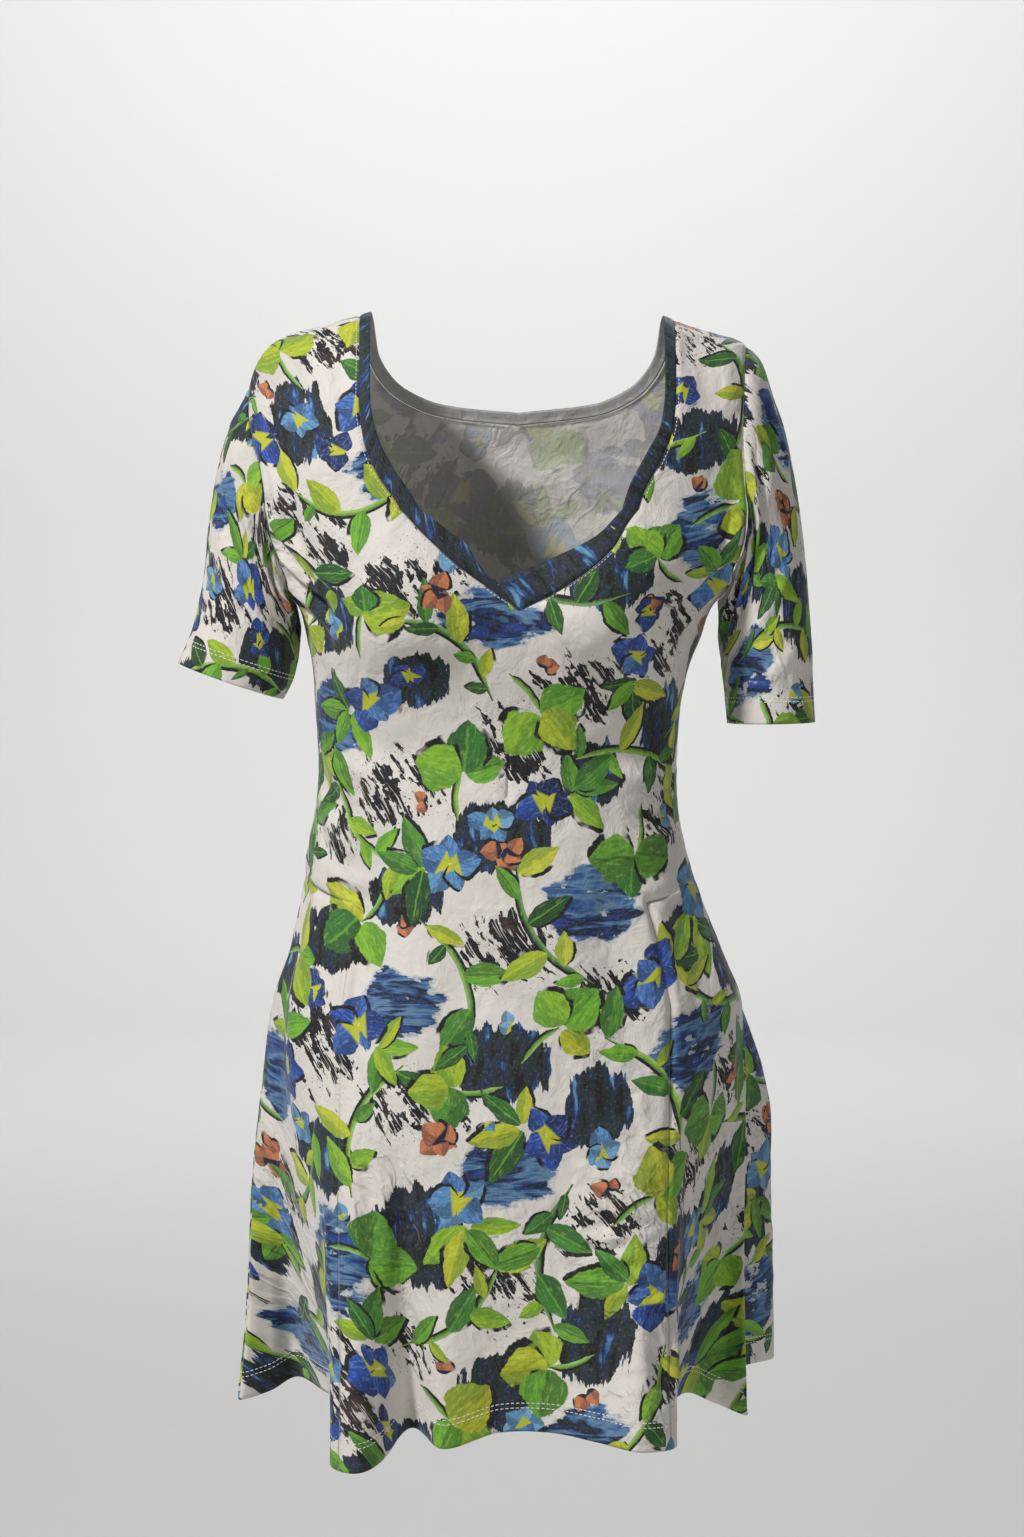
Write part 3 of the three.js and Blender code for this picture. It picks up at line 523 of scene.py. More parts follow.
class Sheet:
    """One cut piece: a fine grid of its outer face, then creases, a thin wall and its edges."""

    def __init__(self, name):
        self.name, self.P, self.C, self.quads, self.grids, self.count, self.open = name, [], [], [], [], 0, []

    def grid(self, p, cut, open_rows=(), open_cols=()):
        r, c = p.shape[:2]
        idx = self.count + np.arange(r * c).reshape(r, c)
        self.count += r * c
        self.P.append(p.reshape(-1, 3))
        self.C.append(cut.reshape(-1, 2))
        self.quads.append(np.stack([idx[:-1, :-1], idx[:-1, 1:], idx[1:, 1:], idx[1:, :-1]], -1).reshape(-1, 4))
        for row in open_rows:
            self.open.append(idx[row].ravel())
        for col in open_cols:
            self.open.append(idx[:, col].ravel())
        self.grids.append(idx)

    def settle(self):
        p, c, quads = np.concatenate(self.P), np.concatenate(self.C), np.concatenate(self.quads)
        key = np.round(p * 400).astype(np.int64)
        cut_key = np.round(c / 3).astype(np.int64)
        _, first, back = np.unique(np.concatenate([key, cut_key], axis=1), axis=0, return_index=True, return_inverse=True)
        back = back.reshape(-1)
        self.p, self.cut = p[first], c[first]
        q = back[quads]
        self.q = q[(q[:, 0] != q[:, 1]) & (q[:, 1] != q[:, 2]) & (q[:, 2] != q[:, 3]) & (q[:, 3] != q[:, 0])]
        self.grids = [back[g] for g in self.grids]
        edges = np.concatenate([self.q[:, [0, 1]], self.q[:, [1, 2]], self.q[:, [2, 3]], self.q[:, [3, 0]]])
        lo, hi = edges.min(axis=1), edges.max(axis=1)
        code = lo.astype(np.int64) * len(self.p) + hi
        _, inv, cnt = np.unique(code, return_inverse=True, return_counts=True)
        self.rim = edges[cnt[inv.reshape(-1)] == 1]
        is_open = np.zeros(len(self.p), bool)
        for o in self.open:
            is_open[back[o]] = True
        on_rim = np.unique(self.rim)
        self.sewn = on_rim[~is_open[on_rim]]
        self.hems = on_rim[is_open[on_rim]]
        self.seam_d = self.distance(self.sewn, 40)
        self.edge_d = self.distance(self.hems, 60) if len(self.hems) else np.full(len(self.p), 60.0)
        self.n = self.normals()
        return self

    def distance(self, ids, most):
        tree = KDTree(len(ids))
        for k, i in enumerate(ids):
            tree.insert(self.p[i], k)
        tree.balance()
        return np.array([min(most, tree.find(v)[2]) for v in self.p])

    def normals(self):
        p, q = self.p, self.q
        n = np.zeros_like(p)
        for a, b, c in ((0, 1, 2), (0, 2, 3)):
            f = np.cross(p[q[:, b]] - p[q[:, a]], p[q[:, c]] - p[q[:, a]])
            for k in (a, b, c):
                np.add.at(n, q[:, k], f)
        return n / np.maximum(1e-9, np.linalg.norm(n, axis=1))[:, None]

    def crease(self, height, hold=7.0):
        """Moves the face out along its normals, with the seams holding it still."""
        keep = ease((self.seam_d - 0.5) / hold)
        self.p = self.p + self.n * (height * keep)[:, None]
        self.n = self.normals()

    def press_seams(self, depth=0.7, width=2.2, pucker=0.3):
        d = self.seam_d
        h = -depth * np.exp(-(d / width) ** 2)
        h += pucker * np.exp(-((d - 5) / 5) ** 2) * vnoise(self.p, 6.5, 5)
        h += 0.25 * np.exp(-((d - 3.6) / 1.6) ** 2)
        self.p = self.p + self.n * h[:, None]
        self.n = self.normals()

    def sample(self, grid, r, c):
        """Place and outward normal at fractional rows and columns of one grid."""
        g = self.grids[grid]
        r, c = np.clip(r, 0, g.shape[0] - 1.0001), np.clip(c, 0, g.shape[1] - 1.0001)
        i, j = r.astype(int), c.astype(int)
        a, b = (r - i)[:, None], (c - j)[:, None]
        out = []
        for t in (self.p, self.n):
            out.append((t[g[i, j]] * (1 - b) + t[g[i, j + 1]] * b) * (1 - a) + (t[g[i + 1, j]] * (1 - b) + t[g[i + 1, j + 1]] * b) * a)
        return out


def mesh_object(name, verts, faces, smooth=True, materials=(), material_index=None):
    """A mesh from millimetre points and one array of triangles or quads (or a list of both)."""
    me = bpy.data.meshes.new(name)
    arrays = faces if isinstance(faces, list) else [faces]
    loops = np.concatenate([f.ravel() for f in arrays])
    sizes = np.concatenate([np.full(len(f), f.shape[1]) for f in arrays])
    me.vertices.add(len(verts))
    me.vertices.foreach_set("co", (np.asarray(verts, float) * MM).ravel())
    me.loops.add(len(loops))
    me.loops.foreach_set("vertex_index", loops.astype(np.int32))
    me.polygons.add(len(sizes))
    me.polygons.foreach_set("loop_start", np.concatenate([[0], np.cumsum(sizes)[:-1]]).astype(np.int32))
    me.polygons.foreach_set("loop_total", sizes.astype(np.int32))
    me.polygons.foreach_set("use_smooth", np.full(len(sizes), bool(smooth)))
    for m in materials:
        me.materials.append(m)
    if material_index is not None:
        me.polygons.foreach_set("material_index", material_index.astype(np.int32))
    me.update(calc_edges=True)
    me.validate()
    ob = bpy.data.objects.new(name, me)
    bpy.context.scene.collection.objects.link(ob)
    return ob


def shell(sheet, materials, fields, thick=0.9, hem_extra=0.0):
    """The finished piece: outer face, inner face and rim. fields: {name: (domain, kind, values for the outer face)}."""
    p, n, q = sheet.p, sheet.n, sheet.q
    count = len(p)
    deep = thick + hem_extra * ease((18 - sheet.edge_d) / 1.5)
    inner = p - n * deep[:, None]
    rim = sheet.rim
    rim_quads = np.stack([rim[:, 1], rim[:, 0], rim[:, 0] + count, rim[:, 1] + count], -1)
    quads = np.concatenate([q, q[:, ::-1] + count, rim_quads])
    index = np.concatenate([np.zeros(len(q)), np.ones(len(q)), np.zeros(len(rim_quads))])
    ob = mesh_object(sheet.name, np.concatenate([p, inner]), quads, True, materials, index)
    me = ob.data
    assert len(me.polygons) == len(quads), sheet.name
    sharp = me.attributes.new("sharp_face", "BOOLEAN", "FACE") if "sharp_face" not in me.attributes else me.attributes["sharp_face"]
    flat = np.zeros(len(quads), bool)
    flat[2 * len(q):] = True
    sharp.data.foreach_set("value", flat)
    for name, (domain, values) in fields.items():
        if domain == "POINT":
            both = np.concatenate([values, values])
            at = me.attributes.new(name, "FLOAT_VECTOR", "POINT")
            at.data.foreach_set("vector", both.astype(np.float32).ravel())
        else:                                    # CORNER: values are (quads, 4, 3)
            r = len(rim_quads)
            edge = np.tile(np.array([9.0, 9.0, 0.0]), (r, 4, 1))
            both = np.concatenate([values, values[:, ::-1], edge])
            at = me.attributes.new(name, "FLOAT_VECTOR", "CORNER")
            at.data.foreach_set("vector", both.astype(np.float32).ravel())
    return ob

# ---- the pieces ----------------------------------------------------------------------------------------------------
def lerp_cols(stops, counts):
    out = [np.linspace(a, b, n, endpoint=False) for a, b, n in zip(stops[:-1], stops[1:], counts)]
    return np.concatenate(out + [[stops[-1]]])


def rung_rows(table, middle_u, side_u, neck, arm, spacing, is_back):
    """The rungs of the table with enough between them for the spacing, judged at their middle ends and half way out."""
    t = np.array(table, float)
    inner, outer = rungs(t, middle_u, side_u, neck, arm)
    half = (inner + outer) / 2
    gaps = np.zeros(len(t) - 1)
    for pts in (inner, outer, half):
        gaps = np.maximum(gaps, np.linalg.norm(np.diff(cloth(pts[:, 0], pts[:, 1], is_back), axis=0), axis=1))
    return finer([list(r) for r in t], np.maximum(1, np.ceil(gaps / spacing)).astype(int))


def add_half(sheet, cols, table, middle_u, side_u, neck, arm, is_back, chart):
    ul = half_bodice(cols, table, middle_u, side_u, neck, arm)
    sheet.grid(cloth(ul[..., 0], ul[..., 1], is_back), chart(ul[..., 0], ul[..., 1]))
    return ul


def add_skirt(sheet, cols, is_back, chart, rows=129):
    share = np.linspace(1, 0, rows)[:, None]
    u = cols[None, :] + 0 * share
    s = share + 0 * u
    sheet.grid(skirt(u, s, is_back), chart(u, level_of(s)), open_rows=(0,))


def beside(u, share, gap, is_back):
    step = np.linalg.norm(skirt(u + 0.1, share, is_back) - skirt(u - 0.1, share, is_back), axis=-1) / 0.2
    return u + gap / np.maximum(0.3, step)


quality = 1.0
n_in, n_out = int(54 * quality), int(32 * quality)
right_cols = lerp_cols([-90, -46, 0], [n_out, n_in])
left_cols = lerp_cols([0, 46, 90], [n_in, n_out])
mid_cols = np.concatenate([right_cols[n_out:], left_cols[1:n_in + 1]])
front_rows = {
    "right": rung_rows(FRONT_RUNGS, 0, -90, neck_seam["right"], armhole["right"]["front"], 3.4, False),
    "left": rung_rows(FRONT_RUNGS, 0, 90, neck_seam["left"], armhole["left"]["front"], 3.4, False),
}
front = Sheet("front_panel")
add_half(front, right_cols, front_rows["right"], 0, -90, neck_seam["right"], armhole["right"]["front"], False, chart_front)
add_half(front, left_cols, front_rows["left"], 0, 90, neck_seam["left"], armhole["left"]["front"], False, chart_front)
add_skirt(front, mid_cols, False, chart_front, rows=161)
front.settle()

MID_BACK = 181.5
back_cols = lerp_cols([90, MID_BACK, 270], [94, 94])
back_rows = {
    "left": rung_rows(BACK_RUNGS, MID_BACK, 90, neck_seam["back_left"], armhole["left"]["back"], 4.2, True),
    "right": rung_rows(BACK_RUNGS, MID_BACK, 270, neck_seam["back_right"], armhole["right"]["back"], 4.2, True),
}
back = Sheet("back_panel")
add_half(back, back_cols[:95], back_rows["left"], MID_BACK, 90, neck_seam["back_left"], armhole["left"]["back"], True, chart_back)
add_half(back, back_cols[94:], back_rows["right"], MID_BACK, 270, neck_seam["back_right"], armhole["right"]["back"], True, chart_back)
add_skirt(back, back_cols, True, chart_back, rows=117)
back.settle()


def side_skirt(name, inner_u, outer_u):
    sheet = Sheet(name)
    cols = np.linspace(inner_u, outer_u, 84)
    s = np.sign(inner_u)
    share = np.linspace(1, 0, 129)
    rows = []
    for sh in share:
        u = cols.copy()
        u[0] = beside(np.array([cols[0]]), sh, s * 0.15, False)[0]
        u[-1] = beside(np.array([cols[-1]]), sh, -s * 0.15, False)[0]
        rows.append(u)
    u = np.array(rows)
    sh = share[:, None] + 0 * u
    p = skirt(u, sh, False)
    p[-1, :, 2] -= 0.2
    c = chart_front(u, level_of(sh))
    if s < 0:
        p, c = p[:, ::-1], c[:, ::-1]
    sheet.grid(p, c, open_rows=(0,))
    return sheet.settle()


side_right = side_skirt("side_skirt_panel_right", -46, -90)
side_left = side_skirt("side_skirt_panel_left", 46, 90)


def band_rows(seam, edge, table, is_back, foot, across=7):
    share = np.maximum(table[table[:, 0] >= 1][:, 0] - 1, foot)
    e, s = along(edge, share), along(seam, share)
    t = np.linspace(0.02, 1, across)[None, :]
    ul = s[:, None, :] + (e - s)[:, None, :] * t[..., None]
    ul[..., 1] = np.minimum(ul[..., 1], TOP - 0.2)
    p = cloth(ul[..., 0], ul[..., 1], is_back)
    run = np.concatenate([[0], np.cumsum(np.linalg.norm(np.diff(p[:, 0], axis=0), axis=1))])
    wide = np.linalg.norm(p[:, -1] - p[:, 0], axis=1)
    cut = np.stack([run[:, None] + 0 * t, wide[:, None] * t], -1)
    return p, cut


def densify(table, n):
    """Twice as many rungs or more, for the narrow bands."""
    return finer([list(r) for r in table], [n] * (len(table) - 1))


bands = {}
for side in ("right", "left"):
    sheet = Sheet("neck_band_front_" + side)
    p, cut = band_rows(neck_seam[side], neck_edge[side], densify(front_rows[side], 2), False, 0.003)
    if side == "left":
        p, cut = p[::-1], cut[::-1]
    sheet.grid(p, cut, open_cols=(-1,))
    bands[side] = sheet.settle()
sheet = Sheet("neck_band_rear")
pl, cl = band_rows(neck_seam["back_left"], neck_edge["back_left"], densify(back_rows["left"], 2), True, 0)
pr, cr = band_rows(neck_seam["back_right"], neck_edge["back_right"], densify(back_rows["right"], 2), True, 0)
cl[..., 0] *= -1
sheet.grid(np.concatenate([pr[::-1], pl[1:]]), np.concatenate([cr[::-1], cl[1:]]), open_cols=(-1,))
bands["back"] = sheet.settle()


def sleeve_sheet(side):
    sign = 1 if side == "left" else -1
    tube = smooth_table(SLEEVES[side])

    def oval(turn, share):
        out_x, out_z, in_x, in_z, front_, back_, mid_y = tube(share)
        c, s = np.cos(turn * RAD), np.sin(turn * RAD)
        return np.stack([(out_x + in_x) / 2 + (out_x - in_x) / 2 * c, mid_y - np.where(s > 0, front_, back_) * s,
                         (out_z + in_z) / 2 + (out_z - in_z) / 2 * c], -1)

    def surface(turn, share):
        on_front = along(armhole[side]["front"], 1 - turn / 180)
        on_back = along(armhole[side]["back"], turn / 180 - 1)
        seam = np.where((turn > 180)[..., None], cloth(on_back[..., 0], on_back[..., 1], True),
                        cloth(on_front[..., 0], on_front[..., 1], False))
        return oval(turn, share) + (seam - oval(turn, 0 * share)) * ((1 - share) ** SLEEVE_EASE)[..., None]

    turns = np.concatenate([np.linspace(180.001, 360, 66), np.linspace(0, 180, 66)[1:]])
    share = np.concatenate([np.linspace(0, 0.12, 9)[:-1], np.linspace(0.12, 1, 74)])
    tt, ss = np.meshgrid(turns, share)
    p = surface(tt, ss)
    away = surface(tt[0], 0 * ss[0] + 0.04) - p[0]
    p[0] += away / np.linalg.norm(away, axis=1)[:, None] * 0.15
    run = np.concatenate([np.zeros((len(share), 1)), np.cumsum(np.linalg.norm(np.diff(p, axis=1), axis=2), axis=1)], axis=1)
    run -= run[:, 65:66]
    down = np.concatenate([np.zeros((1, len(turns))), np.cumsum(np.linalg.norm(np.diff(p, axis=0), axis=2), axis=0)])
    outer = down[-1, 65]
    level = np.broadcast_to(-down[:, 65:66], run.shape)            # rows of equal share, for the creases
    up = down[-1:] - down - outer                                  # up from the cuff, for the print
    cut = np.stack([run * sign * -1, up], -1)
    crease_cut = np.stack([run * sign * -1, level], -1)
    if sign < 0:
        p, cut, crease_cut = p[:, ::-1], cut[:, ::-1], crease_cut[:, ::-1]
    sheet = Sheet("sleeve_cloth_" + side)
    sheet.grid(p, cut, open_rows=(-1,))
    sheet.settle()
    full = np.zeros_like(sheet.cut)
    full[sheet.grids[0].ravel()] = crease_cut.reshape(-1, 2)
    sheet.crease_cut = full
    return sheet


sleeves = {side: sleeve_sheet(side) for side in ("right", "left")}

# ---- materials -------------------------------------------------------------------------------------------------------
class Tree:
    """Short ways to write shader nodes."""

    def __init__(self, name):
        self.mat = bpy.data.materials.new(name)
        self.mat.use_nodes = True
        self.t = self.mat.node_tree
        self.t.nodes.clear()
        self.out = self.t.nodes.new("ShaderNodeOutputMaterial")

    def node(self, kind, **props):
        n = self.t.nodes.new(kind)
        for k, v in props.items():
            setattr(n, k, v)
        return n

    def put(self, socket, value):
        if value is None:
            return
        if isinstance(value, bpy.types.NodeSocket):
            self.t.links.new(value, socket)
        else:
            socket.default_value = value

    def attr(self, name):
        return self.node("ShaderNodeAttribute", attribute_name=name).outputs["Vector"]

    def m(self, op, a, b=None, c=None, clamp=False):
        n = self.node("ShaderNodeMath", operation=op, use_clamp=clamp)
        for s, v in zip(n.inputs, (a, b, c)):
            self.put(s, v)
        return n.outputs[0]

    def v(self, op, a, b=None):
        n = self.node("ShaderNodeVectorMath", operation=op)
        self.put(n.inputs[0], a)
        if op == "SCALE":
            self.put(n.inputs["Scale"], b)
        else:
            self.put(n.inputs[1], b)
        return n.outputs[0]

    def sep(self, v):
        n = self.node("ShaderNodeSeparateXYZ")
        self.put(n.inputs[0], v)
        return n.outputs

    def comb(self, x=0.0, y=0.0, z=0.0):
        n = self.node("ShaderNodeCombineXYZ")
        for s, v in zip(n.inputs, (x, y, z)):
            self.put(s, v)
        return n.outputs[0]

    def noise(self, vec, scale=1.0, detail=2.0, rough=0.5, warp=0.0):
        n = self.node("ShaderNodeTexNoise", noise_dimensions="3D")
        self.put(n.inputs["Vector"], vec)
        n.inputs["Scale"].default_value = scale
        n.inputs["Detail"].default_value = detail
        n.inputs["Roughness"].default_value = rough
        n.inputs["Distortion"].default_value = warp
        return n.outputs["Fac"]

    def step(self, x, lo, hi, a=0.0, b=1.0):
        n = self.node("ShaderNodeMapRange", interpolation_type="SMOOTHSTEP", clamp=True)
        self.put(n.inputs["Value"], x)
        self.put(n.inputs["From Min"], lo)
        self.put(n.inputs["From Max"], hi)
        self.put(n.inputs["To Min"], a)
        self.put(n.inputs["To Max"], b)
        return n.outputs[0]

    def ramp(self, x, stops, mode="LINEAR"):
        n = self.node("ShaderNodeValToRGB")
        n.color_ramp.interpolation = mode
        while len(n.color_ramp.elements) < len(stops):
            n.color_ramp.elements.new(0.5)
        for e, (at, col) in zip(n.color_ramp.elements, stops):
            e.position = at
            e.color = srgb(col)
        self.put(n.inputs[0], x)
        return n.outputs[0]

    def mix(self, fac, a, b, blend="MIX"):
        n = self.node("ShaderNodeMix", data_type="RGBA", blend_type=blend)
        self.put(n.inputs[0], fac)
        self.put(n.inputs[6], srgb(a) if isinstance(a, tuple) else a)
        self.put(n.inputs[7], srgb(b) if isinstance(b, tuple) else b)
        return n.outputs[2]


def srgb(c):
    if len(c) == 4:
        return c
    out = []
    for x in c:
        x = x / 255
        out.append(x / 12.92 if x <= 0.04045 else ((x + 0.055) / 1.055) ** 2.4)
    return (*out, 1.0)


GROUND, GROUND_GREY = (208, 202, 194), (178, 173, 168)
BLACK, NIGHT = (22, 22, 26), (34, 40, 54)
SLATE, NAVY, ROYAL, SKY, TEAL = (39, 48, 61), (21, 29, 54), (38, 76, 160), (88, 142, 182), (104, 148, 160)
LIME, YELLOW, GREEN, DEEP = (112, 172, 44), (176, 180, 42), (58, 118, 46), (30, 58, 34)
ORANGE, BROWN, OLIVE = (190, 116, 72), (104, 74, 58), (112, 132, 56)


def printed(name, reverse=False):
    """The printed jersey. Fields on the mesh say where each part of the design lies; noise gives the brushwork."""
    t = Tree(name)
    cut = t.attr("cut")                       # metres along the cloth, across and up
    cu, cv, side = t.sep(cut)
    zone = t.sep(t.attr("zone"))              # black brushwork, blue washes, dark painted cloth
    bark, wash, dark = zone

    # ground: off-white with faint grey washes
    col = t.mix(t.step(t.noise(cut, 9, 3), 0.5, 0.72, 0, 0.55), GROUND, GROUND_GREY)
    # dry-brushed hatching on the slant, broken up and scratched
    warp = t.noise(cut, 16, 2, 0.4)
    bx = t.m("ADD", t.m("ADD", t.m("MULTIPLY", cu, 0.82), t.m("MULTIPLY", cv, 0.57)), t.m("MULTIPLY", warp, 0.020))
    by = t.m("SUBTRACT", t.m("MULTIPLY", cv, 0.82), t.m("MULTIPLY", cu, 0.57))
    long_ = t.noise(t.comb(bx, t.m("MULTIPLY", by, 0.19), side), 112, 3, 0.55)
    bits = t.noise(t.comb(bx, t.m("MULTIPLY", by, 0.55), side), 185, 3, 0.6, 0.4)
    broad = t.noise(cut, 26, 2)
    level = t.m("ADD", t.m("SUBTRACT", long_, 0.5), t.m("ADD", t.m("MULTIPLY", t.m("SUBTRACT", bits, 0.5), 0.75), t.m("MULTIPLY", t.m("SUBTRACT", broad, 0.5), 0.55)))
    cutoff = t.m("SUBTRACT", 0.215, t.m("MULTIPLY", bark, 0.235))
    black = t.step(t.m("SUBTRACT", level, cutoff), -0.006, 0.012)
    black = t.m("MULTIPLY", black, t.step(bark, 0.02, 0.12))
    scratch = t.noise(t.comb(bx, t.m("MULTIPLY", by, 0.055), side), 760, 2, 0.5)
    black = t.m("MULTIPLY", black, t.step(scratch, 0.60, 0.63, 1.0, 0.08))
    col = t.mix(black, col, t.mix(t.step(t.noise(cut, 40), 0.52, 0.70), BLACK, (58, 44, 38)))
    # fine spatter beside it
    spat = t.step(t.noise(cut, 560, 2), 0.655, 0.685)
    col = t.mix(t.m("MULTIPLY", spat, t.step(bark, 0.05, 0.5)), col, BLACK)

    # watercolour: clouds of blue
    wave = t.noise(t.v("MULTIPLY", cut, (0.26, 1.5, 1.0)), 40, 4, 0.62, 0.6)
    soft = t.noise(cut, 17, 3, 0.55)
    blue = t.ramp(t.m("ADD", t.m("MULTIPLY", wave, 0.75), t.m("MULTIPLY", soft, 0.32)),
                  [(0.0, BLACK), (0.40, NAVY), (0.45, (28, 54, 106)), (0.485, (56, 96, 142)), (0.52, (96, 126, 150)), (0.54, (54, 92, 140)), (0.57, BLACK), (0.60, (30, 50, 96)), (0.65, (32, 64, 140)), (0.73, (86, 122, 156))])
    shore = t.m("MULTIPLY", t.m("SUBTRACT", t.noise(t.v("MULTIPLY", cut, (0.7, 1.25, 1.0)), 44, 4, 0.66), 0.5), 2.5)
    wet = t.m("MULTIPLY", t.step(t.m("ADD", wash, shore), 0.40, 0.54), t.step(wash, 0.03, 0.16))
    wet2 = t.step(t.m("ADD", wash, t.m("MULTIPLY", shore, 1.1)), 0.56, 0.64)
    col = t.mix(t.m("MULTIPLY", wet, 0.62), col, (138, 156, 170))
    col = t.mix(t.m("MULTIPLY", wet2, wet), col, blue)

    # dark painted cloth: navy, slate and green strokes
    stroke = t.noise(t.v("MULTIPLY", cut, (1.5, 0.42, 1.0)), 70, 4, 0.6, 0.35)
    deep = t.ramp(stroke, [(0.0, BLACK), (0.42, BLACK), (0.46, (30, 48, 34)), (0.50, NIGHT), (0.54, SLATE), (0.58, NAVY), (0.63, (44, 84, 140)), (0.69, (96, 146, 168))], "LINEAR")
    edge_of = t.noise(t.v("MULTIPLY", cut, (1.7, 0.40, 1.0)), 62, 4, 0.66)
    dm = t.step(t.m("ADD", dark, t.m("MULTIPLY", t.m("SUBTRACT", edge_of, 0.5), 2.1)), 0.50, 0.55)
    dm = t.m("MULTIPLY", dm, t.step(dark, 0.03, 0.16))
    col = t.mix(dm, col, deep)

    # stems and blades, then leaves, each with its dark side
    for k in (0, 1):
        x, y, hue = t.sep(t.attr("stem%d" % k))
        wob = t.m("MULTIPLY", t.m("SUBTRACT", t.noise(cut, 130, 3), 0.5), 0.9)
        x = t.m("ADD", x, wob)
        shade = t.step(t.m("ABSOLUTE", t.m("SUBTRACT", x, t.m("MULTIPLY", t.noise(cut, 24, 2), 1.5))), 1.35, 1.2)
        body = t.step(t.m("ABSOLUTE", x), 1.05, 0.93)
        hues = t.ramp(hue, [(0.0, BLACK), (0.12, BLACK), (0.2, DEEP), (0.35, GREEN), (0.5, LIME), (0.65, YELLOW), (0.8, ORANGE), (0.95, BROWN)])
        tone = t.mix(t.step(x, -0.5, 0.7), t.mix(0.16, hues, GROUND), t.mix(0.45, hues, BLACK))
        tone = t.mix(t.step(t.noise(t.v("MULTIPLY", cut, (1.0, 0.3, 1.0)), 260, 2), 0.56, 0.64, 0, 0.5), tone, t.mix(0.5, hues, YELLOW))
        show = t.step(hue, 0.0, 0.02)
        col = t.mix(t.m("MULTIPLY", shade, show), col, BLACK)
        col = t.mix(t.m("MULTIPLY", body, show), col, tone)
    for k in (0, 1, 2):
        x, y, hue = t.sep(t.attr("leaf%d" % k))
        wob = t.m("MULTIPLY", t.m("SUBTRACT", t.noise(cut, 96, 3, 0.6), 0.5), 0.62)

        def leaf(px, py, grow):
            q = t.m("MULTIPLY", t.m("POWER", t.m("MAXIMUM", t.m("MINIMUM", px, 1.0), 0.0), 0.80), math.pi)
            half = t.m("POWER", t.m("MAXIMUM", t.m("SINE", q), 0.0), 0.85)
            edge = t.m("SUBTRACT", t.m("ADD", t.m("MULTIPLY", half, 1.0), grow), t.m("ABSOLUTE", py))
            inside_ = t.m("MULTIPLY", t.step(px, 0.0, 0.012), t.step(px, 1.0, 0.988))
            return t.m("MULTIPLY", t.step(edge, -0.03, 0.04), inside_)

        py = t.m("ADD", y, wob)
        under = leaf(t.m("SUBTRACT", x, 0.03), t.m("ADD", py, 0.26), 0.06)
        body = leaf(x, py, 0.0)
        show = t.step(hue, 0.0, 0.02)
        petal = t.step(hue, 1.0, 1.04)            # hues over 1 are blossoms: navy, blue, pale blue, coral
        hues = t.ramp(t.m("MULTIPLY", hue, 0.5), [(0.0, (24, 34, 28)), (0.06, DEEP), (0.175, GREEN), (0.30, LIME), (0.425, YELLOW), (0.495, (196, 200, 70)), (0.51, NAVY), (0.56, NAVY),
                                                  (0.66, ROYAL), (0.76, SKY), (0.86, (150, 186, 206)), (0.90, ORANGE), (1.0, ORANGE)])
        grain = t.noise(t.comb(t.m("MULTIPLY", x, 1.2), t.m("MULTIPLY", y, 2.4), hue), 3.2, 3, 0.6)
        split = t.m("ADD", y, t.m("MULTIPLY", t.m("SUBTRACT", t.noise(cut, 150, 3, 0.6), 0.5), 1.1))
        tone = t.mix(t.step(split, -0.10, 0.16), hues, t.mix(0.50, hues, t.mix(petal, t.mix(t.step(hue, 0.5, 0.62), DEEP, GREEN), NAVY)))
        tone = t.mix(t.step(grain, 0.50, 0.60, 0, 0.55), tone, t.mix(0.5, hues, t.mix(petal, DEEP, BLACK)))
        tone = t.mix(t.step(grain, 0.43, 0.36, 0, 0.5), tone, t.mix(0.35, hues, t.mix(petal, (206, 224, 110), (186, 206, 220))))
        tone = t.mix(t.m("MULTIPLY", petal, t.step(x, 0.30, 0.20)), tone, t.mix(t.step(hue, 1.75, 1.8), YELLOW, NAVY))
        vein = t.m("MULTIPLY", t.step(t.m("ABSOLUTE", t.m("ADD", y, t.m("MULTIPLY", wob, 0.5))), 0.10, 0.03), t.step(x, 0.92, 0.80))
        tone = t.mix(t.m("MULTIPLY", t.m("MULTIPLY", vein, 0.6), t.step(hue, 0.66, 0.5)), tone, t.mix(t.step(hue, 0.3, 0.5), LIME, DEEP))
        col = t.mix(t.m("MULTIPLY", t.m("MULTIPLY", under, show), t.step(t.noise(cut, 33, 2), 0.46, 0.52)), col, BLACK)
        col = t.mix(t.m("MULTIPLY", body, show), col, tone)

    if reverse:
        col = t.mix(0.66, col, (206, 202, 197))
    # a printed cloth is a little uneven where it has stretched and rubbed
    worn = t.noise(cut, 420, 3, 0.6)
    col = t.mix(t.step(worn, 0.52, 0.75, 0, 0.10), col, GROUND)

    knit = t.m("SINE", t.m("MULTIPLY", cu, 2 * math.pi / 0.0011))
    rows_ = t.m("SINE", t.m("ADD", t.m("MULTIPLY", cv, 2 * math.pi / 0.0009), t.m("MULTIPLY", t.m("ABSOLUTE", knit), 1.4)))
    rib = t.m("ADD", t.m("MULTIPLY", knit, 0.5), t.m("MULTIPLY", rows_, 0.35))
    rumple = t.noise(t.v("MULTIPLY", cut, (1.0, 0.8, 1.0)), 52, 4, 0.55, 0.5)
    bump1 = t.node("ShaderNodeBump")
    bump1.inputs["Strength"].default_value = 0.25
    bump1.inputs["Distance"].default_value = 0.00012
    t.put(bump1.inputs["Height"], rib)
    bump2 = t.node("ShaderNodeBump")
    bump2.inputs["Strength"].default_value = 0.85
    bump2.inputs["Distance"].default_value = 0.0036
    t.put(bump2.inputs["Height"], rumple)
    t.t.links.new(bump2.outputs[0], bump1.inputs["Normal"])

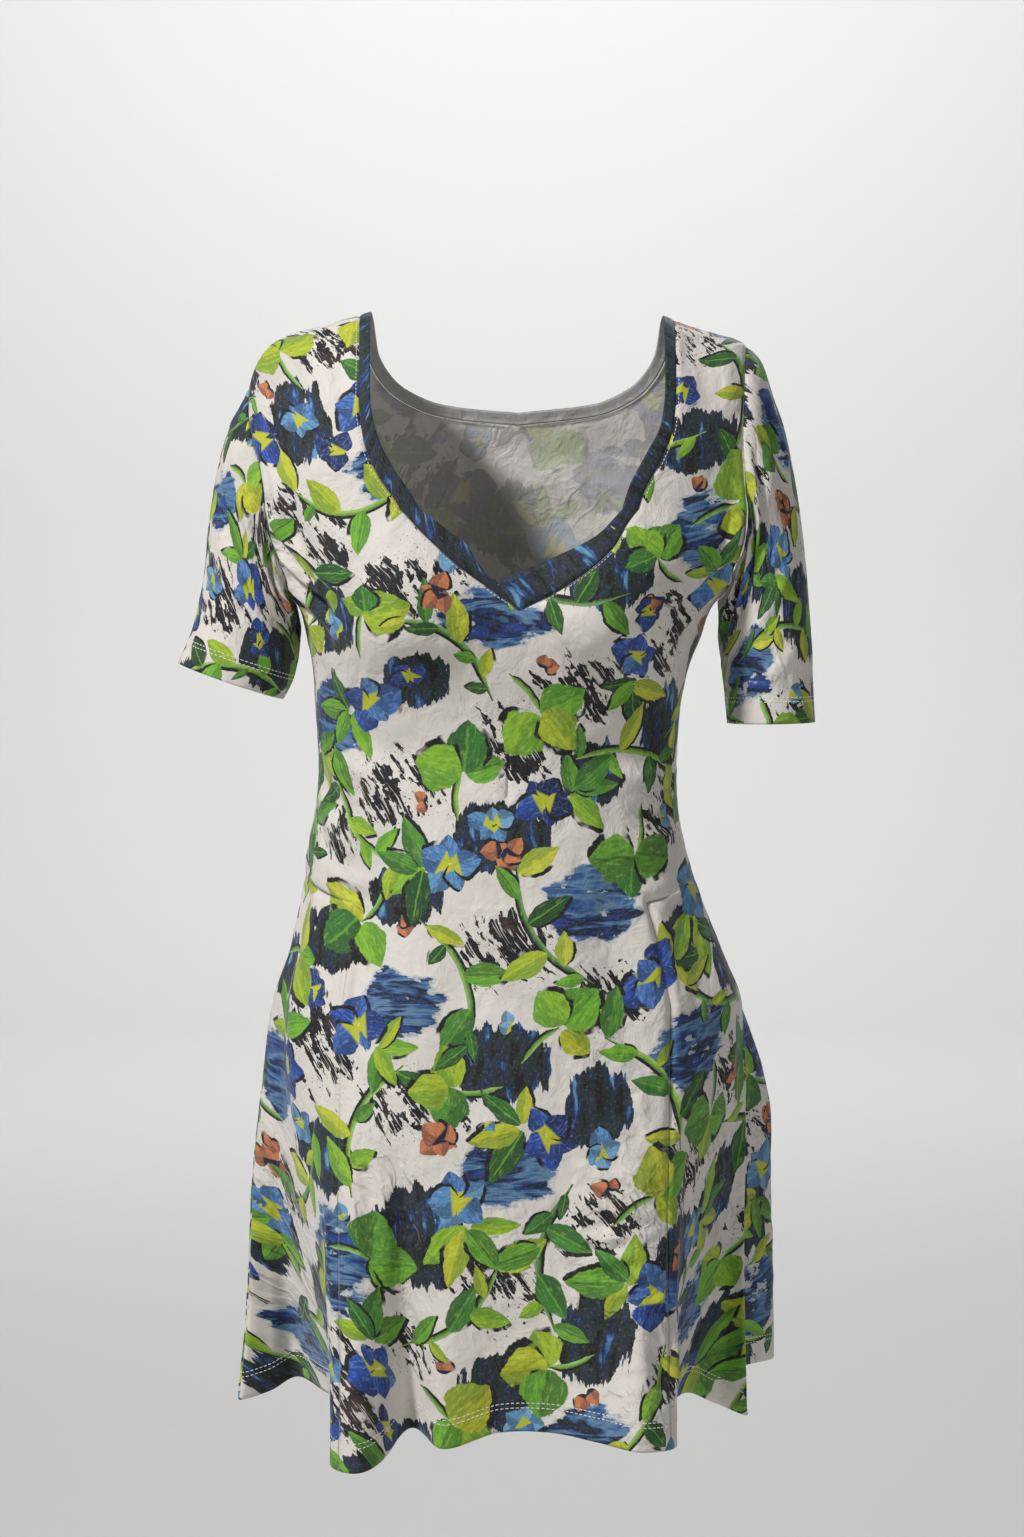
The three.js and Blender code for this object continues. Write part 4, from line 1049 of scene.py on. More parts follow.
    # small sharp crumples where the cloth has been crushed
    crush = t.sep(t.attr("crush"))[0]
    wander = t.comb(t.m("MULTIPLY", t.noise(cut, 30, 3, 0.55), 0.030), t.m("MULTIPLY", t.noise(t.v("ADD", cut, (3.1, 1.7, 0.0)), 30, 3, 0.55), 0.030), side)
    at = t.v("ADD", t.v("MULTIPLY", cut, (1.0, 1.25, 0.0)), wander)
    folds = None
    for scale, part in ((30.0, 1.0), (66.0, 0.38)):
        cell = t.node("ShaderNodeTexVoronoi", voronoi_dimensions="3D", feature="F1")
        cell.inputs["Scale"].default_value = scale
        t.put(cell.inputs["Vector"], at)
        h = t.m("MULTIPLY", cell.outputs["Distance"], part)
        folds = h if folds is None else t.m("ADD", folds, h)
    # and thin pinched lines, most of them falling from the upper left to the lower right
    along = t.m("SUBTRACT", t.m("MULTIPLY", cu, 0.62), t.m("MULTIPLY", cv, 0.78))
    across = t.m("ADD", t.m("MULTIPLY", cu, 0.78), t.m("MULTIPLY", cv, 0.62))
    drift_ = t.m("MULTIPLY", t.noise(cut, 17, 2), 0.05)
    for stretch, scale, width, part in ((0.30, 46.0, 0.075, 0.30), (0.75, 62.0, 0.06, 0.14)):
        line = t.noise(t.comb(t.m("MULTIPLY", along, stretch), t.m("ADD", across, drift_), side), scale, 2, 0.45)
        ridge = t.m("MAXIMUM", t.m("SUBTRACT", 1.0, t.m("DIVIDE", t.m("ABSOLUTE", t.m("SUBTRACT", line, 0.5)), width)), 0.0)
        folds = t.m("ADD", folds, t.m("MULTIPLY", ridge, part))
    bump3 = t.node("ShaderNodeBump")
    bump3.inputs["Strength"].default_value = 1.0
    bump3.inputs["Distance"].default_value = 0.0056
    t.put(bump3.inputs["Height"], t.m("MULTIPLY", folds, crush))
    t.t.links.new(bump3.outputs[0], bump2.inputs["Normal"])

    b = t.node("ShaderNodeBsdfPrincipled")
    t.put(b.inputs["Base Color"], col)
    b.inputs["Roughness"].default_value = 0.74
    b.inputs["Specular IOR Level"].default_value = 0.32
    b.inputs["Sheen Weight"].default_value = 0.22
    b.inputs["Sheen Roughness"].default_value = 0.45
    b.inputs["Sheen Tint"].default_value = (0.9, 0.92, 1.0, 1.0)
    t.t.links.new(bump1.outputs[0], b.inputs["Normal"])
    t.t.links.new(b.outputs[0], t.out.inputs[0])
    return t.mat


PRINT, REVERSE = printed("printed_jersey_face"), printed("printed_jersey_reverse", True)


def thread_material(name, base):
    t = Tree(name)
    geo = t.node("ShaderNodeNewGeometry").outputs["Position"]
    col = t.mix(t.step(t.noise(geo, 900, 2), 0.4, 0.7), base, tuple(int(c * 0.86) for c in base))
    b = t.node("ShaderNodeBsdfPrincipled")
    t.put(b.inputs["Base Color"], col)
    b.inputs["Roughness"].default_value = 0.55
    b.inputs["Sheen Weight"].default_value = 0.2
    bump = t.node("ShaderNodeBump")
    bump.inputs["Strength"].default_value = 0.5
    bump.inputs["Distance"].default_value = 0.0001
    t.put(bump.inputs["Height"], t.noise(geo, 2600, 1))
    t.t.links.new(bump.outputs[0], b.inputs["Normal"])
    t.t.links.new(b.outputs[0], t.out.inputs[0])
    return t.mat


THREAD = thread_material("white_thread", (228, 226, 220))


# ---- the design: where its parts lie on each piece, in millimetres of cut coordinates ----------------------------------
FAR = np.array([9.0, 9.0, 0.0])


def blobs(cut, rows):
    """Soft patches: (U, V, half width, half height, amount)."""
    out = np.zeros(len(cut))
    for u, v, ru, rv, amount in rows:
        q = np.sqrt(((cut[:, 0] - u) / ru) ** 2 + ((cut[:, 1] - v) / rv) ** 2)
        out = np.maximum(out, amount * ease((1.25 - q) / 0.7))
    return out


def zones(sheet, bark, wash, dark, hem_v=None, wash_height=70):
    cut = sheet.cut
    b, w, d = blobs(cut, bark), blobs(cut, wash), blobs(cut, dark)
    if hem_v is not None:
        w = np.maximum(w, np.clip((hem_v + wash_height - cut[:, 1]) / wash_height, 0, 1) ** 0.8)
    return np.stack([b, w, d], -1)


def stem_layers(sheet, stems, layers=2):
    """stems: (points, half width, hue, layer). Each face takes its nearest stem of that layer."""
    cut, q = sheet.cut, sheet.q
    centre = cut[q].mean(axis=1)
    size = 4.0
    out = []
    for layer in range(layers):
        vals = np.tile(FAR, (len(q), 4, 1))
        best = np.full(len(q), np.inf)
        for points, width, hue, on in stems:
            if on != layer:
                continue
            line = curve_through(points, 5.0)
            near, d, far = to_line(centre, line, 2.2 * width + size)
            good = (np.abs(d) / width < best[near]) & (far > 0.0) & (far < 1.0)
            near = near[good]
            if not len(near):
                continue
            best[near] = np.abs(d[good]) / width
            corners = cut[q[near]].reshape(-1, 2)
            full = np.full((len(corners), 2), 9.0)
            got, dd, ff = to_line(corners, line, 1e6)
            taper = width * np.clip(np.minimum(ff * 5, (1 - ff) * 4), 0.25, 1)
            full[got, 0] = dd / taper
            full[got, 1] = ff
            vals[near, :, :2] = full.reshape(-1, 4, 2)
            vals[near, :, 2] = hue
        out.append(vals)
    return out


def leaf_layers(sheet, leaves, layers=3):
    """leaves: (U, V of the foot, direction in degrees, length, width, hue). Overlapping leaves go to different layers."""
    cut, q = sheet.cut, sheet.q
    centre = cut[q].mean(axis=1)
    kept = [[] for _ in range(layers)]
    low, high = cut.min(axis=0) - 45, cut.max(axis=0) + 45
    for leaf in leaves:
        u, v, ang, length, width, hue = leaf
        if not (low[0] < u < high[0] and low[1] < v < high[1]):
            continue
        mid = np.array([u + math.cos(ang * RAD) * length / 2, v + math.sin(ang * RAD) * length / 2])
        clash = []
        for k in range(layers):
            bad = 0.0
            for (m2, l2) in kept[k]:
                bad = max(bad, 0.5 * (length + l2[3]) + 3 - np.linalg.norm(mid - m2))
            clash.append(bad)
        k = next((i for i, c in enumerate(clash) if c <= 0), int(np.argmin(clash)))
        kept[k].append((mid, leaf))
    out = []
    for k in range(layers):
        vals = np.tile(FAR, (len(q), 4, 1))
        best = np.full(len(q), np.inf)
        for mid, (u, v, ang, length, width, hue) in kept[k]:
            reach = length * 0.62 + 8
            near = np.nonzero((np.abs(centre - mid) < reach).all(axis=1))[0]
            if not len(near):
                continue
            c, s = math.cos(ang * RAD), math.sin(ang * RAD)

            def local(pts):
                d = pts - np.array([u, v])
                return np.stack([(d[..., 0] * c + d[..., 1] * s) / length, (-d[..., 0] * s + d[..., 1] * c) / (width / 2)], -1)
            at = local(centre[near])
            score = np.hypot((at[:, 0] - 0.5) / 0.5, at[:, 1] / 1.0)
            good = score < np.minimum(best[near], 1.75 + 6.0 / width)
            near, score = near[good], score[good]
            best[near] = score
            vals[near, :, :2] = local(cut[q[near]])
            vals[near, :, 2] = hue
        out.append(vals)
    return out


def vine(points, spacing, length, hue=(0.3, 0.9), start=0.05, stop=1.0, spread=52, width=0.36, seed=0, sides="both"):
    """Leaves up a stem, a little unlike one another."""
    rng = np.random.default_rng(seed)
    line = curve_through(points, 3.0)
    seg = np.linalg.norm(np.diff(line, axis=0), axis=1)
    run = np.concatenate([[0], np.cumsum(seg)])
    out, at, k = [], start * run[-1], 0
    while at < stop * run[-1]:
        x, y = np.interp(at, run, line[:, 0]), np.interp(at, run, line[:, 1])
        x2, y2 = np.interp(at + 4, run, line[:, 0]), np.interp(at + 4, run, line[:, 1])
        if x2 == x and y2 == y:
            x2, y2 = 2 * x - np.interp(at - 4, run, line[:, 0]), 2 * y - np.interp(at - 4, run, line[:, 1])
        heading = math.degrees(math.atan2(y2 - y, x2 - x))
        s = 1 if (k % 2 == 0) else -1
        if sides == "left":
            s = 1
        elif sides == "right":
            s = -1
        size = length * rng.uniform(0.5, 1.3)
        out.append((x, y, heading + s * (spread + rng.uniform(-34, 34)), size, size * width * rng.uniform(0.8, 1.25), rng.uniform(*hue)))
        at += spacing * rng.uniform(0.55, 1.5)
        k += 1
    return out


def spray(u, v, angle, fan, count, length, hue=(0.3, 0.9), width=0.4, seed=0):
    """A tuft of leaves from one point."""
    rng = np.random.default_rng(seed)
    out = []
    for k in range(count):
        a = angle + (k / max(1, count - 1) - 0.5) * fan + rng.uniform(-9, 9)
        size = length * rng.uniform(0.7, 1.15)
        du, dv = rng.uniform(-3, 3, 2)
        out.append((u + du, v + dv, a, size, size * width * rng.uniform(0.8, 1.2), rng.uniform(*hue)))
    return out


def tossed(u0, u1, v0, v1, seed, pitch=(72.0, 80.0), size=1.46):
    """An even half-drop of blossoms, bent sprigs and round leaves, turned every way, with brushed patches between them."""
    rng = np.random.default_rng(seed)
    stems, leaves, bark, wash, dark = [], [], [], [], []
    for i in range(int((u1 - u0) / pitch[0]) + 2):
        for j in range(-1, int((v1 - v0) / pitch[1]) + 2):
            u = u0 + i * pitch[0] + rng.uniform(-8, 8)
            v = v0 + (j + 0.5 * (i % 2)) * pitch[1] + rng.uniform(-8, 8)
            turn = (i * 137 + j * 79) % 360 + rng.uniform(-18, 18)
            c, s = math.cos(turn * RAD), math.sin(turn * RAD)
            own = int(rng.integers(1, 1 << 20))
            kind = (i + 2 * j) % 3
            if kind == 0:        # two blossoms and a few leaves
                big, small = [((1.14, 1.34), (1.44, 1.60)), ((1.40, 1.58), (1.86, 1.96)), ((1.24, 1.46), (1.16, 1.30))][(i + j) % 3]
                leaves += spray(u - 15 * size * c, v - 15 * size * s, turn + 180, 150, 4, 27 * size, (0.15, 0.9), 0.42, own)
                leaves += spray(u, v, turn, 288, 5, 17 * size, big, 0.86, own + 1)
                leaves += spray(u + 28 * c * size, v + 28 * s * size, turn + 36, 288, 5, 11 * size, small, 0.88, own + 2)
            elif kind == 1:      # a bent sprig
                bend = 9 if (i + j) % 2 else -9
                pts = [(-36, -bend), (-12, 0.4 * bend), (14, 0.5 * bend), (38, -0.6 * bend)]
                pts = [(u + size * (x * c - y * s), v + size * (x * s + y * c)) for x, y in pts]
                stems.append((pts, 2.0, (0.44, 0.52, 0.36)[(i + j) % 3], (i + j) % 2))
                leaves += vine(pts, 13 * size, 22 * size, (0.15, 0.95), 0.08, seed=own, width=0.44)
            else:                # round leaves on a short stalk, and small buds
                pts = [(u - 26 * size * c, v - 26 * size * s), (u - 12 * size * c - 3 * s, v - 12 * size * s + 3 * c), (u, v)]
                stems.append((pts, 1.8, 0.48, (i + j) % 2))
                leaves += spray(u, v, turn, 150, 3, 24 * size, (0.3, 0.95), 0.86, own)
                leaves += spray(u - 26 * c - 24 * s, v - 26 * s + 24 * c, turn + 90, 60, 2, 9 * size, (1.86, 1.96) if (i + j) % 2 else (1.5, 1.6), 0.9, own + 1)
            pu, pv = u + pitch[0] * 0.5, v + pitch[1] * 0.25
            patch = (pu, pv, rng.uniform(28, 46), rng.uniform(24, 42), rng.uniform(0.9, 1.0))
            (dark, bark, wash, dark, bark)[(2 * i + j) % 5].append(patch)
    return stems, leaves, bark, wash, dark


# where the cloth is crushed small: (U, V, half width, half height, amount)
CRUSH = {
    "front_panel": [(100, -250, 60, 84, 0.7), (76, -140, 36, 50, 0.4), (150, -300, 40, 60, 0.5), (-90, -230, 50, 80, 0.55), (-170, -200, 50, 90, 0.45), (0, -230, 40, 160, 0.25),
                    (-150, 70, 50, 60, 0.4), (140, 70, 50, 60, 0.4), (-186, 250, 30, 40, 0.5), (186, 250, 30, 40, 0.5), (100, -366, 60, 24, 0.6)],
    "side_skirt_panel_right": [(-260, -240, 90, 110, 0.5)], "side_skirt_panel_left": [(260, -240, 90, 110, 0.55)],
    "back_panel": [(-70, -230, 90, 100, 0.7), (90, -200, 80, 100, 0.6), (240, -240, 80, 100, 0.6), (-240, -240, 80, 100, 0.6), (0, 60, 140, 50, 0.5), (0, 300, 90, 60, 0.2), (-150, 260, 40, 50, 0.45), (150, 260, 40, 50, 0.45)],
    "sleeve_cloth_right": [(150, -70, 40, 70, 0.5), (-140, -70, 40, 70, 0.5), (40, -130, 80, 50, 0.3)],
    "sleeve_cloth_left": [(-150, -80, 40, 90, 0.5), (140, -80, 40, 90, 0.5), (-60, -200, 90, 60, 0.35)],
}


def dress_up(sheet, zone, stems, leaves, thick=0.9, hem_extra=0.0, mats=None):
    fields = {
        "cut": ("POINT", np.concatenate([sheet.cut * MM, np.full((len(sheet.cut), 1), sheet.offset)], axis=1)),
        "zone": ("POINT", zone),
        "crush": ("POINT", np.stack([np.maximum(np.where(sheet.cut[:, 1] > 0, 0.04, 0.12), blobs(sheet.crease_cut, CRUSH.get(sheet.name, [])))] * 3, -1)),
    }
    for k, vals in enumerate(stem_layers(sheet, stems)):
        fields["stem%d" % k] = ("CORNER", vals)
    for k, vals in enumerate(leaf_layers(sheet, leaves)):
        fields["leaf%d" % k] = ("CORNER", vals)
    ob = shell(sheet, mats or (PRINT, REVERSE), fields, thick, hem_extra)
    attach(ob, "root")
    return ob



# Creases, listed one by one: (points of (U, V), height, width, kind, open ends), in millimetres. A minus sign is a
# trough.
FRONT_CREASES = [
    # drag lines from the wearer's right armhole to the bust
    ([(-207, 268), (-178, 240), (-140, 210)], -2.6, 6.0, "soft", "a"),
    ([(-204, 250), (-178, 222), (-146, 198)], 2.0, 5.0, "soft", "a"),
    ([(-198, 286), (-172, 268), (-150, 236)], -1.6, 5.0, "soft", "a"),
    ([(-196, 300), (-176, 290), (-160, 262)], 1.4, 4.5, "soft", "a"),
    ([(-196, 232), (-172, 206), (-138, 184)], -1.7, 5.0, "soft", "a"),
    ([(-188, 214), (-166, 186), (-140, 160)], 1.3, 6.0, "soft", "a"),
    # and from the left
    ([(206, 268), (180, 242), (146, 214)], -2.4, 6.0, "soft", "a"),
    ([(203, 250), (178, 226), (150, 200)], 2.0, 5.0, "soft", "a"),
    ([(196, 284), (178, 262), (158, 240)], -1.5, 5.0, "soft", "a"),
    ([(188, 334), (181, 290), (190, 250)], 2.6, 4.5, "fold", ""),
    ([(178, 322), (171, 284), (176, 252)], -1.6, 5.0, "soft", ""),
    ([(196, 230), (176, 204), (148, 184)], -1.6, 5.0, "soft", "a"),
    ([(-176, 340), (-170, 306), (-178, 276)], 1.6, 5.0, "soft", ""),
    ([(-164, 330), (-158, 296), (-160, 268)], -1.2, 5.0, "soft", ""),
    # shoulders
    ([(-128, 452), (-120, 410), (-126, 360)], -0.9, 7.0, "soft", "a"),
    ([(-168, 440), (-160, 402), (-166, 366)], 0.9, 7.0, "soft", "a"),
    ([(146, 446), (150, 408), (144, 366)], -0.9, 7.0, "soft", "a"),
    ([(176, 438), (172, 404), (178, 372)], 0.8, 6.0, "soft", "a"),
    # under the bust and round the waist
    ([(-126, 132), (-86, 112), (-44, 120)], -1.3, 9.0, "soft", ""),
    ([(48, 120), (88, 110), (128, 128)], -1.3, 9.0, "soft", ""),
    ([(-168, 104), (-130, 92), (-92, 98)], 0.9, 5.0, "soft", ""),
    ([(-172, 84), (-136, 70), (-98, 74)], -1.2, 5.0, "soft", ""),
    ([(-170, 62), (-128, 50), (-84, 58)], 1.2, 5.0, "soft", ""),
    ([(-166, 40), (-132, 28), (-96, 34)], -1.2, 5.0, "soft", ""),
    ([(-150, 20), (-118, 14), (-86, 18)], 0.8, 4.0, "soft", ""),
    ([(94, 98), (128, 88), (164, 100)], 1.0, 5.0, "soft", ""),
    ([(90, 70), (128, 62), (166, 76)], -1.3, 5.0, "soft", ""),
    ([(86, 46), (124, 38), (164, 52)], 1.1, 5.0, "soft", ""),
    ([(98, 24), (130, 18), (160, 30)], -0.9, 4.0, "soft", ""),
    ([(-30, 92), (4, 84), (34, 94)], 0.6, 6.0, "soft", ""),
    ([(-36, 60), (0, 66), (38, 58)], -0.6, 6.0, "soft", ""),
    ([(-34, 22), (6, 28), (40, 18)], 0.6, 6.0, "soft", ""),
    ([(18, 226), (50, 208), (84, 196)], 0.7, 8.0, "soft", ""),
    ([(-22, 196), (-60, 200), (-92, 214)], 0.6, 8.0, "soft", ""),
    # the skirt hangs from the waist seam in soft folds
    ([(-70, -6), (-68, -110), (-60, -226)], 1.4, 12, "soft", ""),
    ([(-108, -4), (-116, -110), (-124, -230)], -1.6, 12, "soft", "a"),
    ([(-34, -10), (-28, -120), (-26, -230)], -1.0, 12, "soft", ""),
    ([(36, -10), (30, -110), (34, -210)], 0.9, 12, "soft", ""),
    ([(74, -6), (84, -90), (92, -170)], -1.2, 11, "soft", "a"),
    ([(112, -4), (124, -90), (134, -190)], 1.4, 11, "soft", "a"),
    ([(150, -6), (172, -100), (184, -190)], -1.5, 11, "soft", "a"),
    ([(-150, -6), (-168, -90), (-184, -190)], 1.4, 12, "soft", "a"),
    ([(-176, -10), (-198, -100), (-216, -200)], -1.3, 11, "soft", "a"),
    # the crushed part of the skirt, wearer's left, and smaller ones beside it
    ([(59, -265), (72, -275), (86, -287)], 1.9, 3.6, "sharp", ""),
    ([(56, -277), (68, -294), (78, -310), (83, -324)], -1.7, 4.9, "soft", ""),
    ([(63, -257), (86, -255), (105, -261), (114, -268)], 1.4, 3.6, "sharp", ""),
    ([(110, -264), (98, -272), (91, -282), (86, -287)], 1.5, 3.6, "sharp", ""),
    ([(105, -272), (99, -278), (95, -284)], -1.1, 3.6, "soft", ""),
    ([(86, -287), (97, -308), (104, -330), (113, -354)], 1.7, 5.7, "soft", ""),
    ([(74, -285), (88, -307), (98, -337)], -1.5, 5.7, "soft", ""),
    ([(57, -196), (74, -212), (90, -229), (100, -242)], -1.4, 3.6, "sharp", ""),
    ([(64, -195), (82, -211), (101, -230), (111, -238)], 1.5, 3.6, "sharp", ""),
    ([(74, -196), (93, -212), (108, -228)], -1.1, 3.3, "sharp", ""),
    ([(61, -209), (75, -223), (87, -237)], 1.2, 3.6, "sharp", ""),
    ([(70, -224), (83, -235), (100, -244)], -1.1, 3.6, "sharp", ""),
    ([(53, -240), (71, -240), (96, -239)], 1.2, 3.6, "sharp", ""),
    ([(56, -247), (76, -249), (100, -248)], -1.2, 4.1, "soft", ""),
    ([(69, -257), (62, -260), (57, -266)], 1.1, 3.6, "soft", ""),
    ([(109, -292), (122, -289), (130, -282)], 1.2, 3.3, "sharp", ""),
    ([(103, -297), (115, -298), (128, -293)], -1.1, 3.6, "soft", ""),
    ([(117, -263), (125, -277), (120, -288)], -1.0, 4.1, "soft", ""),
    ([(51, -183), (65, -191), (75, -196)], 1.0, 3.6, "soft", ""),
    ([(63, -304), (74, -319), (79, -335)], 0.9, 4.9, "soft", ""),
    ([(100, -202), (113, -215), (124, -230)], -0.9, 3.6, "soft", ""),
    ([(48, -330), (59, -334), (68, -343)], 0.9, 3.6, "soft", ""),
    ([(108, -317), (121, -335), (127, -358)], -1.4, 5.7, "soft", ""),
    ([(130, -313), (138, -342), (138, -370)], 1.2, 4.9, "soft", ""),
    ([(150, -189), (163, -222), (171, -249)], 1.1, 3.8, "soft", ""),
    ([(163, -193), (178, -223), (183, -250)], -1.1, 3.8, "soft", ""),
    ([(205, -226), (228, -254), (237, -277)], -0.9, 4.5, "soft", ""),
    ([(235, -248), (249, -266), (259, -284)], 0.9, 4.1, "soft", ""),
    ([(53, -93), (71, -113), (86, -135)], -0.7, 4.9, "soft", ""),
    ([(71, -95), (88, -113), (98, -138)], 0.7, 4.9, "soft", ""),
    ([(54, -133), (67, -143), (75, -160)], 0.7, 4.1, "sharp", ""),
    ([(86, -148), (96, -161), (100, -180)], -0.7, 4.1, "soft", ""),
    ([(-78, -216), (-68, -221), (-56, -229)], 1.2, 3.3, "sharp", ""),
    ([(-80, -224), (-70, -231), (-58, -240)], -1.1, 3.3, "sharp", ""),
    ([(-79, -239), (-67, -245), (-58, -256)], 1.0, 3.4, "sharp", ""),
    ([(-96, -178), (-100, -222), (-102, -271)], -1.1, 6.6, "soft", ""),
    ([(-87, -185), (-91, -228), (-93, -278)], 1.0, 5.7, "soft", ""),
    ([(-106, -213), (-89, -213), (-78, -220)], -0.7, 3.8, "soft", ""),
    ([(-118, -116), (-112, -152), (-116, -188)], 0.7, 5.7, "soft", ""),
    ([(-76, -271), (-68, -284), (-65, -306)], 0.9, 4.9, "soft", ""),
    ([(-133, -219), (-128, -254), (-139, -290)], -0.7, 5.7, "soft", ""),
    ([(-190, -161), (-186, -202), (-234, -254)], 0.7, 5.7, "soft", ""),
    ([(-20, -150), (2, -158), (24, -150)], 0.6, 5.0, "soft", ""),
    ([(-26, -246), (-6, -256), (20, -250)], -0.6, 5.0, "soft", ""),
    ([(-14, -320), (6, -330), (30, -322)], 0.6, 5.0, "soft", ""),
    ([(200, -120), (214, -160), (236, -204)], 1.1, 6.0, "soft", ""),
    ([(286, -220), (300, -260), (316, -310)], -1.1, 6.0, "soft", ""),
    ([(-284, -200), (-300, -250), (-322, -300)], 1.1, 6.0, "soft", ""),
    ([(-330, -180), (-344, -230), (-360, -290)], -1.1, 6.0, "soft", ""),
]

BACK_CREASES = [
    ([(-196, 262), (-170, 236), (-128, 214)], -2.2, 6.0, "soft", "a"),
    ([(-198, 244), (-170, 218), (-136, 200)], 1.8, 5.0, "soft", "a"),
    ([(-190, 282), (-160, 262), (-130, 240)], 1.3, 6.0, "soft", "a"),
    ([(196, 262), (168, 240), (130, 210)], -2.2, 6.0, "soft", "a"),
    ([(198, 246), (172, 220), (138, 196)], 1.8, 5.0, "soft", "a"),
    ([(188, 284), (160, 266), (134, 238)], 1.3, 6.0, "soft", "a"),
    ([(-120, 330), (-60, 318), (10, 322), (70, 316), (126, 330)], -1.1, 9.0, "soft", ""),
    ([(-96, 296), (-30, 286), (40, 292), (100, 284)], 1.0, 8.0, "soft", ""),
    ([(-140, 110), (-80, 88), (-10, 96)], -1.6, 6.5, "soft", ""),
    ([(-150, 86), (-90, 66), (-30, 70)], 1.5, 6.0, "soft", ""),
    ([(-146, 60), (-96, 44), (-40, 50)], -1.4, 6.0, "soft", ""),
    ([(-140, 36), (-86, 22), (-44, 28)], 1.2, 5.0, "soft", ""),
    ([(146, 104), (92, 84), (22, 92)], -1.5, 6.5, "soft", ""),
    ([(150, 80), (96, 60), (34, 66)], 1.5, 6.0, "soft", ""),
    ([(148, 54), (100, 40), (46, 44)], -1.4, 6.0, "soft", ""),
    ([(138, 30), (92, 18), (48, 22)], 1.1, 5.0, "soft", ""),
    ([(-60, 150), (-10, 140), (54, 150)], 0.8, 8.0, "soft", ""),
    ([(-34, -30), (-40, -110), (-30, -200)], 1.4, 11, "soft", "a"),
    ([(20, -20), (26, -110), (18, -200)], -1.4, 11, "soft", "a"),
    ([(84, -20), (96, -100), (108, -190)], 1.4, 11, "soft", "a"),
    ([(-90, -20), (-104, -100), (-116, -190)], -1.4, 11, "soft", "a"),
    ([(150, -20), (170, -100), (186, -180)], -1.2, 11, "soft", "a"),
    ([(-150, -20), (-172, -100), (-188, -180)], 1.2, 11, "soft", "a"),
    ([(-96, -170), (-66, -196), (-40, -230)], 1.6, 3.8, "sharp", ""), ([(-84, -164), (-56, -186), (-28, -216)], -1.5, 3.8, "sharp", ""),
    ([(-70, -236), (-40, -250), (-10, -276)], 1.5, 3.8, "sharp", ""), ([(-62, -250), (-34, -268), (-12, -298)], -1.4, 4.4, "soft", ""),
    ([(-110, -220), (-92, -246), (-90, -284)], 1.3, 4.4, "soft", ""), ([(30, -240), (58, -262), (72, -298)], -1.3, 4.6, "soft", ""),
    ([(22, -156), (50, -168), (84, -166)], 1.2, 3.8, "sharp", ""), ([(70, -210), (96, -236), (104, -272)], 1.3, 4.4, "soft", ""),
    ([(-70, -226), (-50, -240), (-22, -246)], -1.2, 3.6, "sharp", ""),
    ([(-64, -206), (-44, -216), (-30, -236)], 1.0, 3.6, "sharp", ""),
    ([(34, -190), (52, -206), (64, -232)], 1.1, 3.6, "sharp", ""),
    ([(60, -180), (84, -190), (108, -184)], -0.9, 3.6, "sharp", ""),
    ([(120, -240), (142, -252), (166, -250)], 1.0, 3.8, "sharp", ""),
    ([(-150, -230), (-132, -250), (-126, -276)], -1.0, 4.0, "soft", ""),
    ([(-210, -200), (-196, -226), (-200, -256)], 1.0, 4.0, "soft", ""),
    ([(210, -190), (226, -216), (222, -246)], 0.9, 4.0, "soft", ""),
]

RIGHT_SLEEVE_CREASES = [      # +U is the front, 0 the outer line
    ([(156, -4), (146, -46), (152, -92)], 2.2, 5.0, "soft", "a"),
    ([(172, -4), (162, -50), (168, -98)], -2.0, 5.0, "soft", "a"),
    ([(140, -4), (131, -40), (136, -78)], -1.8, 4.6, "soft", "a"),
    ([(122, -4), (116, -34), (118, -64)], 1.4, 4.6, "soft", "a"),
    ([(104, -4), (98, -30), (100, -58)], -1.0, 5.0, "soft", "a"),
    ([(60, -40), (84, -54), (112, -58)], 0.8, 6.0, "soft", ""),
    ([(20, -70), (48, -88), (84, -96)], -0.9, 7.0, "soft", ""),
    ([(70, -120), (100, -132), (134, -128)], 1.0, 6.0, "soft", ""),
    ([(26, -140), (56, -150), (90, -146)], -0.8, 6.0, "soft", ""),
    ([(-150, -4), (-142, -46), (-150, -92)], 2.0, 5.0, "soft", "a"),
    ([(-134, -4), (-128, -40), (-132, -80)], -1.7, 5.0, "soft", "a"),
    ([(-112, -4), (-106, -36), (-110, -66)], 1.2, 5.0, "soft", "a"),
    ([(-40, -60), (-70, -74), (-100, -70)], 0.8, 7.0, "soft", ""),
    ([(-30, -130), (-64, -142), (-96, -134)], -0.8, 7.0, "soft", ""),
    ([(14, -14), (8, -44), (16, -70)], -0.7, 6.0, "soft", "a"),
    ([(-14, -12), (-18, -40), (-12, -66)], 0.7, 6.0, "soft", "a"),
]
